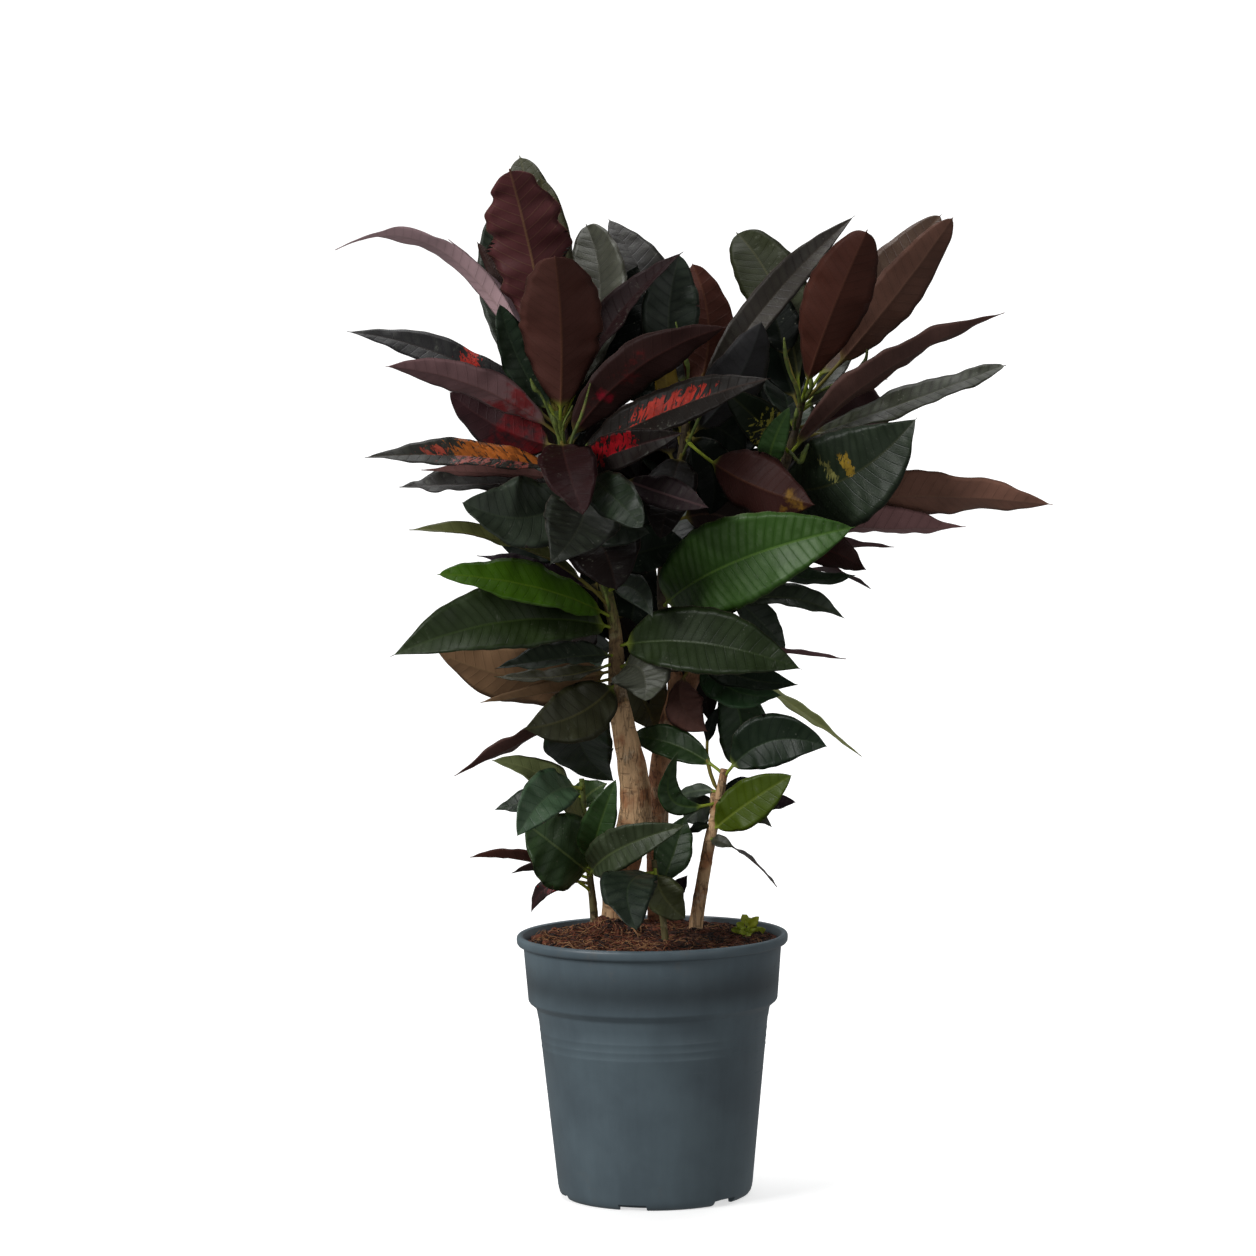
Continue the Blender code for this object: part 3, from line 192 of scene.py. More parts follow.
rightLeaves = (
    # erect leaves of the crown
    (60.6, (10.0, 70.0, 7.0), (7.1, 74.3, 11.5), 5.2, 8, 0.12, 2.0, "khaki"),
    (61.2, (10.4, 66.4, 4.6), (9.6, 69.8, 7.0), 3.8, 8, 0.42, 0.8, "blackGreen"),
    (61.3, (14.3, 67.9, -4.4), (17.2, 74.4, -8.4), 5.4, 178, 0.12, 1.6, "maroon"),
    (61.0, (19.6, 69.7, 0.6), (23.8, 75.3, 0.8), 4.0, 160, 0.24, 0.9, "pinkEdge"),
    (61.0, (17.6, 69.1, 3.6), (22.9, 75.5, 6.0), 4.8, 24, 0.14, 0.9, "khakiDark"),
    (60.6, (14.8, 64.0, 4.6), (16.3, 67.6, 7.6), 2.0, 16, 0.18, 0.6, "sheen"),
    # spreading leaves of the crown
    (57.0, (19.6, 64.3, -3.4), (27.7, 67.9, -5.4), 3.8, 122, 0.06, 0.2, "mauveBrown"),
    (58.2, (22.3, 61.9, 1.2), (27.8, 63.9, 1.2), 3.3, 52, 0.1, 1.1, "oliveBands"),
    (59.2, (16.0, 60.3, 2.2), (19.1, 60.9, 3.6), 4.6, 30, 0.1, 0.5, "darkMaroon"),
    (60.4, (15.6, 62.4, 3.4), (18.7, 62.9, 4.6), 1.5, 30, 0.12, 0.3, "sheen"),
    (54.6, (17.0, 56.3, -4.6), (20.9, 60.0, -6.8), 7.7, 6, 0.06, 0.4, "yellowStreak"),
    (53.2, (22.2, 53.9, -2.4), (31.3, 53.1, -4.8), 5.2, 132, 0.08, 0.6, "paleBrown"),
    (52.4, (18.2, 51.5, 0.2), (24.6, 51.5, -0.4), 4.2, 124, 0.1, 0.3, "pinkFold"),
    (51.8, (15.0, 50.3, 1.6), (19.1, 50.0, 1.6), 1.4, 128, 0.1, 0.3, "mauve"),
    (50.8, (14.8, 49.5, 1.2), (16.9, 48.2, 1.0), 3.4, 150, 0.1, 0.4, "bloodRed"),
    (50.0, (12.0, 47.7, 2.6), (16.1, 47.9, 2.8), 2.3, 52, 0.1, 0.4, "deepGreen"),
    (45.4, (11.1, 46.1, 3.0), (15.2, 44.5, 3.0), 2.7, 40, 0.12, 0.4, "greyGreen"),
    (57.4, (8.7, 59.8, -2.6), (5.9, 62.4, -4.2), 3.5, 8, 0.12, 0.6, "yellowComb"),
    (55.2, (9.8, 58.2, -5.0), (11.1, 60.9, -7.6), 2.1, 6, 0.36, 0.7, "midGreen"),
    # low leaves under the crown
    (42.8, (10.4, 42.0, 2.0), (15.3, 41.4, 2.0), 1.4, 112, 0.10, 0.2, "mauve"),
    (42.2, (6.6, 40.3, 1.6), (11.6, 39.45, 1.0), 3.6, 34, 0.08, 0.3, "blackGreen"),
    (42.1, (6.0, 39.4, 5.2), (10.3, 38.7, 5.4), 4.0, 30, 0.1, 0.4, "deepGreen"),
    (42.4, (11.4, 37.6, 4.0), (16.4, 33.8, 4.2), 2.0, 66, 0.14, 0.2, "oliveStrip"),
    (42.2, (7.1, 36.3, 1.4), (6.6, 33.3, 1.0), 4.2, 6, 0.14, 1.6, "deepGreen"),
    (42.2, (2.7, 37.6, 2.6), (4.5, 35.9, 2.6), 3.5, 160, 0.3, 0.4, "purpleBrown"),
    (60.6, (10.1, 66.0, 4.4), (9.5, 69.2, 5.4), 4.0, 10, 0.12, 0.6, "blackGreen"),
)
basalLeftLeaves = (
    (26.0, (-8.2, 32.5, 1.4), (-12.3, 33.9, 1.0), 3.4, 50, 0.18, 0.5, "paleOlive"),
    (31.6, (-8.0, 31.0, -1.2), (-10.4, 27.9, -3.0), 4.0, 12, 0.12, 0.5, "dullGreen"),
    (31.0, (-8.8, 30.7, 2.6), (-12.1, 30.05, 2.8), 2.4, 40, 0.12, 0.4, "deepGreen"),
    (25.0, (-7.8, 27.5, 0.4), (-9.7, 29.0, 0.6), 6.3, 16, 0.08, 0.7, "lightRib"),
    (29.6, (-4.9, 31.0, 4.6), (-3.3, 32.0, 4.8), 2.6, 20, 0.14, 0.5, "lightRib"),
    (23.6, (-8.9, 25.9, -0.6), (-14.1, 26.4, -1.6), 2.5, 114, 0.12, 0.3, "maroon"),
    (24.6, (-8.2, 25.4, 2.2), (-10.9, 25.1, 2.4), 1.7, 112, 0.12, 0.3, "greyGreen"),
    (24.2, (-7.7, 24.2, 1.2), (-9.35, 22.0, 1.0), 1.4, 18, 0.14, 0.5, "glowRed"),
    (25.4, (-3.9, 28.9, -1.0), (-2.6, 32.4, -1.8), 3.0, 14, 0.10, 0.6, "midGreen"),
    (24.8, (-1.0, 27.55, -4.4), (2.8, 28.7, -6.0), 3.5, 6, 0.08, 0.5, "sageBands"),
)
basalFrontLeaves = (
    (23.6, (1.8, 26.6, -0.4), (2.6, 29.4, -0.2), 3.1, 16, 0.12, 0.7, "midGreen"),
    (25.0, (-1.9, 23.4, -5.4), (-1.2, 20.5, -6.4), 4.4, 8, 0.08, 0.9, "blueGreen"),
    (25.4, (0.9, 23.2, -5.2), (2.6, 21.4, -6.4), 3.2, 10, 0.12, 0.6, "oliveLit"),
    (22.4, (1.9, 23.6, -0.6), (2.8, 24.8, -0.6), 1.5, 12, 0.14, 0.5, "purple"),
)
sideLeaves = (
    (28.2, (8.2, 30.8, -1.8), (11.0, 32.5, -2.8), 3.6, 4, 0.06, 0.6, "lime"),
    (29.4, (8.3, 30.3, 0.8), (11.3, 30.35, 1.0), 1.9, 20, 0.12, 0.5, "purple"),
    (28.6, (7.8, 29.4, 2.0), (9.4, 28.4, 2.2), 1.5, 20, 0.14, 0.5, "sheen"),
    (30.2, (6.9, 31.4, 2.2), (8.6, 32.1, 2.4), 1.9, 14, 0.14, 0.5, "blackGreen"),
    (27.8, (7.4, 26.2, 0.4), (9.75, 23.7, 0.2), 1.4, 82, 0.14, 0.3, "greyMauve"),
    (27.6, (5.5, 27.3, -0.6), (6.4, 26.9, -0.9), 1.1, 20, 0.16, 0.5, "sheen"),
    (30.4, (3.9, 29.9, 2.4), (2.5, 28.9, 2.8), 3.0, 14, 0.12, 0.5, "greyGreen"),
    (28.6, (3.7, 28.5, 0.4), (2.8, 28.0, 0.4), 0.9, 30, 0.14, 0.4, "blackGreen"),
    (31.2, (3.4, 31.3, 2.2), (1.9, 30.8, 2.6), 1.2, 24, 0.14, 0.4, "sage"),
    (32.6, (1.75, 35.0, 2.6), (-1.8, 35.6, 4.4), 2.8, 10, 0.14, 0.5, "midGreen"),
    (32.2, (9.8, 35.2, -1.4), (13.8, 34.6, -2.6), 4.5, 6, 0.12, 0.4, "deepGreen"),
    (31.0, (4.4, 34.6, 1.8), (5.3, 37.8, 2.6), 1.0, 20, 0.60, 0.5, "blackGreen"),
    (30.4, (1.8, 30.5, 2.8), (2.2, 34.5, 3.4), 2.0, 16, 0.12, 0.5, "midGreen"),
)
seedlingLeaves = (
    (20.5, (6.9, 20.8, 0.8), (6.5, 21.0, 0.6), 0.7, 10, 0.30, 0.8, "sprout"),
    (20.6, (7.5, 21.1, 1.0), (7.7, 21.4, 0.8), 0.7, 8, 0.30, 0.8, "sprout"),
    (20.3, (7.8, 20.6, 0.6), (8.2, 20.6, 0.3), 0.7, 20, 0.30, 0.8, "sprout"),
    (20.2, (7.0, 20.3, 0.3), (6.8, 20.2, 0.0), 0.7, 20, 0.30, 0.8, "sprout"),
    (20.3, (7.5, 20.4, 0.1), (7.6, 20.3, -0.3), 0.7, 14, 0.30, 0.8, "sprout"),
)
# Bare stalks, stubs and buds among the leaves: the shoot, then rows as a stem's
stalks = (
    ("left_foliage", ((-6.1, 56.9, -0.9, 1.3), (-7.1, 59.9, -1.7, 1.2), (-8.0, 62.0, -2.2, 1.0),
        (-8.5, 62.5, -2.4, 2.0), (-8.8, 63.3, -2.4, 0.5))),
    ("left_foliage", ((-6.1, 56.9, -0.9, 1.2), (-6.8, 59.2, -1.9, 1.3), (-7.0, 60.0, -2.2, 2.4),
        (-7.3, 60.6, -2.3, 0.4))),
    ("left_foliage", ((-6.0, 56.0, -0.8, 0.9), (-6.4, 59.3, -1.9, 0.8), (-5.6, 61.2, -2.4, 0.5))),
    ("left_foliage", ((-5.9, 55.4, -0.7, 1.5), (-5.8, 58.2, -2.1, 1.3), (-4.9, 60.5, -2.6, 1.2),
        (-4.2, 62.9, -2.7, 0.5))),
    ("left_foliage", ((-5.8, 55.0, -0.6, 0.9), (-5.1, 57.4, -2.0, 1.0), (-4.7, 57.8, -2.4, 1.7),
        (-4.5, 58.3, -2.4, 0.4))),
    ("left_foliage", ((-3.2, 46.6, 1.0, 1.5), (-3.9, 49.2, -0.6, 1.9), (-3.5, 49.9, -1.0, 1.9),
        (-3.6, 50.4, -1.0, 0.6))),
    ("left_foliage", ((-3.0, 45.4, 1.2, 1.3), (-3.0, 45.7, -0.8, 1.3), (-3.4, 47.1, -1.4, 1.1),
        (-3.8, 48.1, -1.6, 0.6))),
    ("middle_foliage", ((3.0, 59.8, 2.2, 1.3), (3.3, 63.5, 0.6, 1.2), (3.2, 64.4, 0.0, 2.0),
        (2.9, 65.3, 0.0, 1.0), (2.4, 67.5, 0.2, 0.6))),
    ("middle_foliage", ((2.6, 56.8, 2.6, 1.1), (4.2, 60.3, 0.8, 1.2), (4.7, 61.1, 0.4, 0.5))),
    ("right_foliage", ((11.9, 60.6, 1.6, 1.6), (11.7, 62.1, 0.4, 1.4), (11.1, 63.5, -0.2, 1.3),
        (10.8, 64.8, -0.6, 1.6), (10.7, 66.2, -0.6, 0.6))),
    ("right_foliage", ((12.0, 61.2, 1.6, 1.4), (12.7, 62.2, 0.2, 1.7), (12.7, 62.9, -0.1, 1.9),
        (12.7, 63.4, -0.1, 0.5))),
    ("right_foliage", ((9.6, 54.0, 3.0, 1.2), (9.4, 56.0, 1.4, 1.1), (9.4, 57.1, 1.2, 1.1),
        (9.6, 58.3, 1.2, 1.3))),
    ("right_foliage", ((11.4, 59.0, 1.9, 1.1), (11.5, 59.9, 0.6, 1.3), (11.6, 60.3, 0.2, 2.0),
        (11.6, 60.8, 0.2, 0.5))),
    ("right_foliage", ((11.0, 57.5, 2.0, 1.4), (11.8, 56.6, -2.2, 1.6), (12.1, 57.2, -3.2, 2.2),
        (12.5, 58.0, -3.6, 0.8))),
    ("right_foliage", ((12.0, 61.4, 1.6, 1.2), (15.4, 63.0, 1.2, 1.2), (16.8, 64.2, 1.0, 1.5),
        (17.1, 65.2, 1.0, 0.8))),
    ("right_foliage", ((10.2, 55.4, 2.7, 0.9), (8.5, 59.3, 1.6, 0.9), (8.7, 60.0, 1.2, 1.5),
        (9.0, 60.4, 1.2, 0.4))),
)
# Dark leaves deep inside the crown, near black partly in their own colour and partly as painted shade, and
# small ones of the seedlings
innerLeaves = {
    "left_foliage": (
        (55.5, (-5.2, 58.4, 3.0), (-4.2, 61.6, 4.6), 3.4, 10, 0.12, 0.6, "blackGreen"),
        (56.6, (-7.4, 59.6, 2.0), (-8.6, 62.4, 3.4), 2.6, 170, 0.12, 0.6, "deepGreen"),
        (53.6, (-1.8, 55.4, 4.8), (1.8, 57.6, 6.4), 3.8, 16, 0.10, 0.6, "blackBrown"),
        (54.4, (-3.4, 57.6, 2.0), (-0.6, 60.6, 4.0), 3.4, 14, 0.10, 0.6, "blackGreen"),
        (45.6, (-1.0, 42.0, 5.4), (0.0, 38.0, 6.6), 2.6, 20, 0.12, 0.5, "blackBrown"),
    ),
    "middle_foliage": (
        (55.0, (5.6, 57.4, 5.6), (9.2, 58.8, 7.2), 3.4, 14, 0.10, 0.6, "blackGreen"),
        (55.8, (3.0, 57.6, 6.4), (4.8, 60.6, 8.2), 3.4, 10, 0.10, 0.6, "blackBrown"),
        (45.4, (3.6, 41.6, 7.4), (4.6, 36.6, 8.6), 3.2, 12, 0.12, 0.5, "blackBrown"),
    ),
    "seedlings": (
        (20.4, (7.9, 21.1, 0.4), (8.3, 21.5, 0.2), 0.8, 10, 0.30, 0.8, "sprout"),
        (20.6, (7.2, 21.3, 1.4), (7.0, 21.7, 1.6), 0.7, 8, 0.30, 0.8, "sprout"),
        (20.2, (8.2, 20.3, 1.2), (8.8, 20.5, 1.0), 0.8, 20, 0.30, 0.8, "sprout"),
        (20.3, (6.6, 20.4, 1.0), (6.1, 20.5, 0.8), 0.7, 20, 0.30, 0.8, "sprout"),
        (20.2, (7.3, 20.0, -0.3), (7.2, 19.8, -0.8), 0.8, 14, 0.30, 0.8, "sprout"),
    ),
    "right_foliage": (
        (57.0, (9.2, 60.2, 5.2), (8.8, 64.0, 7.2), 2.8, 14, 0.10, 0.6, "blackGreen"),
        (54.0, (9.6, 55.8, 5.0), (7.2, 57.4, 6.6), 3.0, 14, 0.10, 0.6, "blackGreen"),
        (46.6, (8.0, 45.0, 6.2), (10.6, 42.2, 6.8), 2.8, 20, 0.12, 0.5, "deepGreen"),
    ),
}
# How much lighter or darker single leaves are than their look, by number: partly each leaf's own tone and
# partly painted light and shade
leafToneAndLight = {
    2: 1.15, 6: 1.25, 8: 0.4, 9: 0.95, 12: 0.95, 14: 1.55, 15: 0.9, 16: 1.1, 17: 1.05, 18: 0.95, 19: 1.4,
    20: 0.65, 21: 1.05, 25: 0.7, 26: 1.1, 27: 1.05, 29: 1.1, 30: 1.1, 31: 1.75, 32: 1.05, 33: 1.6,
    34: 1.35, 36: 0.95, 37: 1.05, 39: 1.2, 40: 1.25, 41: 1.25, 42: 1.8, 44: 0.65, 45: 1.65, 48: 1.15,
    49: 2.1, 51: 0.6, 52: 1.2, 53: 1.6, 56: 1.2, 57: 1.25, 58: 0.85, 59: 0.6, 60: 3, 61: 0.85, 62: 1.75,
    65: 1.55, 67: 0.6, 69: 0.75, 70: 2.5, 72: 0.6, 73: 0.65, 74: 1.2, 77: 1.1, 78: 1.2, 79: 0.7, 80: 1.3,
    81: 1.05, 82: 2.2, 84: 1.8, 86: 3, 87: 3, 88: 2.6, 89: 2.55, 91: 1.05, 92: 1.6, 93: 1.55, 95: 1.25,
    96: 1.75, 98: 0.65, 100: 1.3, 102: 0.9, 103: 0.7, 106: 0.95, 112: 1.85, 114: 2.5, 115: 0.9, 116: 0.9,
    117: 0.75,
}

# Leaves of the rear: lowest and highest root, how many are tried, and the seed
rearLeaves = {
    "left_foliage": (42.0, 60.4, 8, 3),
    "middle_foliage": (44.0, 60.4, 8, 5),
    "right_foliage": (43.0, 61.2, 9, 7),
}
rearLooks = ("deepGreen", "glowRed", "greyGreen", "purple", "blackGreen", "maroon", "midGreen")


# Leaf paths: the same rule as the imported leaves, so that the fine leaves lie on them

leafRule = {"edge": 0.00075, "rib": 0.0011, "stalkHalf": 0.0013, "stalkDepth": 0.0026,
            "clearance": 0.0022, "depthStep": 0.6, "shifts": 25, "draws": 14}


def smoothRows(rows, finer):
    # a smooth line through the rows, with a number of steps from each row to the next
    table = np.array(rows)
    ends = np.vstack([2 * table[0] - table[1], table, 2 * table[-1] - table[-2]])
    out = []
    for i in range(1, len(ends) - 2):
        a, b, c, d = ends[i - 1 : i + 3]
        for k in range(finer):
            t = k / finer
            out.append(0.5 * (2 * b + (c - a) * t + (2 * a - 5 * b + 4 * c - d) * t**2
                              + (3 * b - a - 3 * c + d) * t**3))
    out.append(ends[-2])
    return [tuple(row) for row in out]


def stemRows(points, finer=2, extra=0.0):
    return smoothRows([(*seen(x, z, y), r / 1000 + extra) for x, z, y, r in points], finer)


def onShoot(points, height):
    # the place on a shoot's axis at a seen height
    rows = smoothRows([(x, z, y) for x, z, y, _ in points], 4)
    for low, high in zip(rows, rows[1:]):
        if low[1] <= height <= high[1]:
            t = (height - low[1]) / (high[1] - low[1])
            return seen(*[a + t * (b - a) for a, b in zip(low, high)])
    raise ValueError("no such height on the shoot")


def outline(s, roundness):
    # half the width of a blade, from 0 to 1, at the share s of its length
    tip = max(0.0, s - 0.5) / 0.5
    blunt = min(1.0, roundness)
    # over 1, the widest place moves toward the tip
    power = 0.92 + 0.5 * (max(1.0, roundness) - 1)
    return math.sin(math.pi * s**power) ** (0.72 * (1 - tip) + (1.15 - 0.65 * blunt) * tip)


def toEye(place, heading):
    # the way to the eye, square to a leaf's heading
    facing = Vector((0, -eye["distance"], eye["height"])) - place
    return (facing - heading * facing.dot(heading)).normalized()


def leafForm(leaf, number):
    # half a leaf's width, its fold and the wave of its edge
    half = leaf[3] / 200
    return half, math.radians(16 + 8 * math.sin(1.7 * number)), 0.055 * half + 0.0006


def leafFrames(leaf, points, shift, shares):
    # stations along a leaf: place, width direction, upper normal and share of the blade
    height, bend, tip, _, turn, stalk = leaf[:6]
    root = onShoot(points, height)
    middle = seen(bend[0], bend[1], bend[2] + 0.55 * shift)
    end = seen(tip[0], tip[1], tip[2] + shift)
    first = (middle - root).length
    second = (end - middle).length
    m = first / (first + second)

    def place(t):
        return (root * (t - m) * (t - 1) / m + middle * t * (t - 1) / (m * (m - 1))
                + end * t * (t - m) / (1 - m))

    def along(t):
        return (place(min(1, t + 0.01)) - place(max(0, t - 0.01))).normalized()

    heading = along(0.55)
    facing = toEye(place(0.55), heading)
    side = 1 if end.x >= root.x else -1
    angle = math.radians(turn)
    normal = facing * math.cos(angle) + facing.cross(heading) * side * math.sin(angle)
    frames = []
    for t in shares:
        heading = along(t)
        up = (normal - heading * normal.dot(heading)).normalized()
        frames.append((place(t), up.cross(heading), up, (t - stalk) / (1 - stalk)))
    return frames


def leafLength(leaf, points):
    return (seen(*leaf[2]) - seen(*leaf[1])).length + (seen(*leaf[1]) - onShoot(points, leaf[0])).length


def roughLeaf(leaf, points, number, shift, fat):
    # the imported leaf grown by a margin, as corners and triangles for the test of what it meets
    length = leafLength(leaf, points)
    steps = 2 + sum(length > least for least in (0.035, 0.09, 0.155, 0.21))
    half, fold, wave = leafForm(leaf, number)
    stalk = leaf[5]
    shares = [0.0, stalk] + [stalk + (1 - stalk) * (0.5 - 0.5 * math.cos(math.pi * k / steps))
                             for k in range(1, steps)] + [1.0]
    corners = []
    for place, across, up, s in leafFrames(leaf, points, shift, shares):
        if s <= 0:
            reach, lift, left, right = leafRule["stalkHalf"], 0.0, 0.0, 0.0
            edge, rib = leafRule["stalkDepth"] * 0.45, leafRule["stalkDepth"]
        else:
            wide = max(0.0004, half * outline(s, leaf[6])) if s < 1 else 0.0004
            reach, lift = wide * math.cos(fold), wide * math.sin(fold)
            swing = 2 * math.pi * 2.2 * s + 2.4 * number
            swell = wave * min(1.0, wide / half * 1.4)
            left, right = swell * math.sin(swing), swell * math.sin(swing + 1.9)
            edge, rib = leafRule["edge"], leafRule["rib"]
        edge, rib = edge / 2 + fat, rib / 2 + fat
        reach += fat
        for x, z in ((-reach, lift + left + edge), (0, rib), (reach, lift + right + edge),
                     (reach, lift + right - edge), (0, -rib), (-reach, lift + left - edge)):
            corners.append(place + across * x + up * z)
    triangles = [(0, 1, 5), (1, 4, 5), (1, 2, 4), (2, 3, 4)]
    last = len(corners) - 6
    triangles += [tuple(last + c for c in reversed(face)) for face in triangles]
    for ring in range(0, last, 6):
        for j in range(6):
            a, b = ring + j, ring + (j + 1) % 6
            c, d = b + 6, a + 6
            triangles += [(a, c, b), (a, d, c)] if j in (0, 3) else [(a, d, b), (b, d, c)]
    return corners, triangles


def treeOf(shape):
    return BVHTree.FromPolygons(shape[0], shape[1], all_triangles=True)


def stemTree(points, extra):
    rows = stemRows(points, extra=extra)
    corners = [Vector((x + r * math.cos(k * math.pi / 4), y + r * math.sin(k * math.pi / 4), z))
               for x, y, z, r in rows for k in range(8)]
    triangles = []
    for i in range(len(rows) - 1):
        for k in range(8):
            a, b = 8 * i + k, 8 * i + (k + 1) % 8
            triangles += [(a, b, b + 8), (a, b + 8, a + 8)]
    return treeOf((corners, triangles))


def bladeOnly(shape):
    return shape[0], [face for face in shape[1] if min(face) >= 6]


def rowPoint(place):
    grow = (eye["distance"] + place.y) / eye["distance"]
    return (place.x / grow * 100, ((place.z - eye["height"]) / grow + eye["height"]) * 100, place.y * 100)


def naturalTurn(root, middle, end):
    # the turn at which a leaf's upper face looks up
    heading = (end - root).normalized()
    facing = toEye(middle, heading)
    side = facing.cross(heading) * (1 if end.x >= root.x else -1)
    up = Vector((0, 0, 1)) - heading * heading.z
    return math.degrees(math.atan2(up.dot(side), up.dot(facing)))


def rearLeaf(points, height, azimuth, rise, length, width, look):
    root = onShoot(points, height)
    out = Vector((math.cos(azimuth), math.sin(azimuth), 0))
    middle = root + (out * math.cos(rise) + Vector((0, 0, math.sin(rise)))) * length * 0.55
    fall = rise - math.radians(34)
    end = middle + (out * math.cos(fall) + Vector((0, 0, math.sin(fall)))) * length * 0.45
    turn = naturalTurn(root, middle, end)
    return (height, rowPoint(middle), rowPoint(end), width, turn, 0.12, 0.6, look)


def settleLeaves(shoots, trunks):
    # places for all leaves: lists of (row, number, shift). A listed leaf takes the least shift in depth
    # that clears the others, or meets the fewest. A rear leaf that finds no free place is left out.
    margin = leafRule["clearance"] / 2
    stems = {name: stemTree(points, margin) for name, (points, _) in shoots.items()}
    walls = [stemTree(points, margin) for points in trunks]
    placed = []
    settled = {name: [] for name in shoots}

    def trial(name, row, number, shift):
        shape = roughLeaf(row, shoots[name][0], number, shift, margin)
        whole, blade = treeOf(shape), treeOf(bladeOnly(shape))
        faults = sum(1 for wall in walls if whole.overlap(wall))
        faults += sum(1 for other, stem in stems.items() if other != name and whole.overlap(stem))
        faults += sum(1 for other, near, wide in placed
                      if (blade.overlap(near) if other == name else whole.overlap(wide)))
        return faults, blade, whole

    for name, (points, leaves) in shoots.items():
        for row in leaves:
            number = len(placed) + 1
            trials = []
            for k in range(leafRule["shifts"]):
                shift = leafRule["depthStep"] * ((k + 1) // 2) * (-1) ** k
                trials.append((*trial(name, row, number, shift), shift))
                if not trials[-1][0]:
                    break
            _, blade, whole, shift = min(trials, key=lambda t: t[0])
            placed.append((name, blade, whole))
            settled[name].append((row, number, shift))
    for name, (low, high, count, seed) in rearLeaves.items():
        for index in range(count):
            draw = np.random.default_rng(100 * seed + index)
            share = (index + 0.5) / count
            for _ in range(leafRule["draws"]):
                height = min(high, low + (high - low) * share + draw.uniform(-0.8, 0.8))
                azimuth = math.radians(90 + draw.uniform(-68, 68))
                rise = math.radians(draw.uniform(4, 22) + 48 * share)
                length = draw.uniform(0.105, 0.15) * (1.05 - 0.2 * share)
                look = rearLooks[(index + seed) % len(rearLooks)]
                row = rearLeaf(shoots[name][0], height, azimuth, rise, length, draw.uniform(3.6, 4.8), look)
                number = len(placed) + 1
                faults, blade, whole = trial(name, row, number, 0.0)
                if not faults:
                    placed.append((name, blade, whole))
                    settled[name].append((row, number, 0.0))
                    break
    return settled
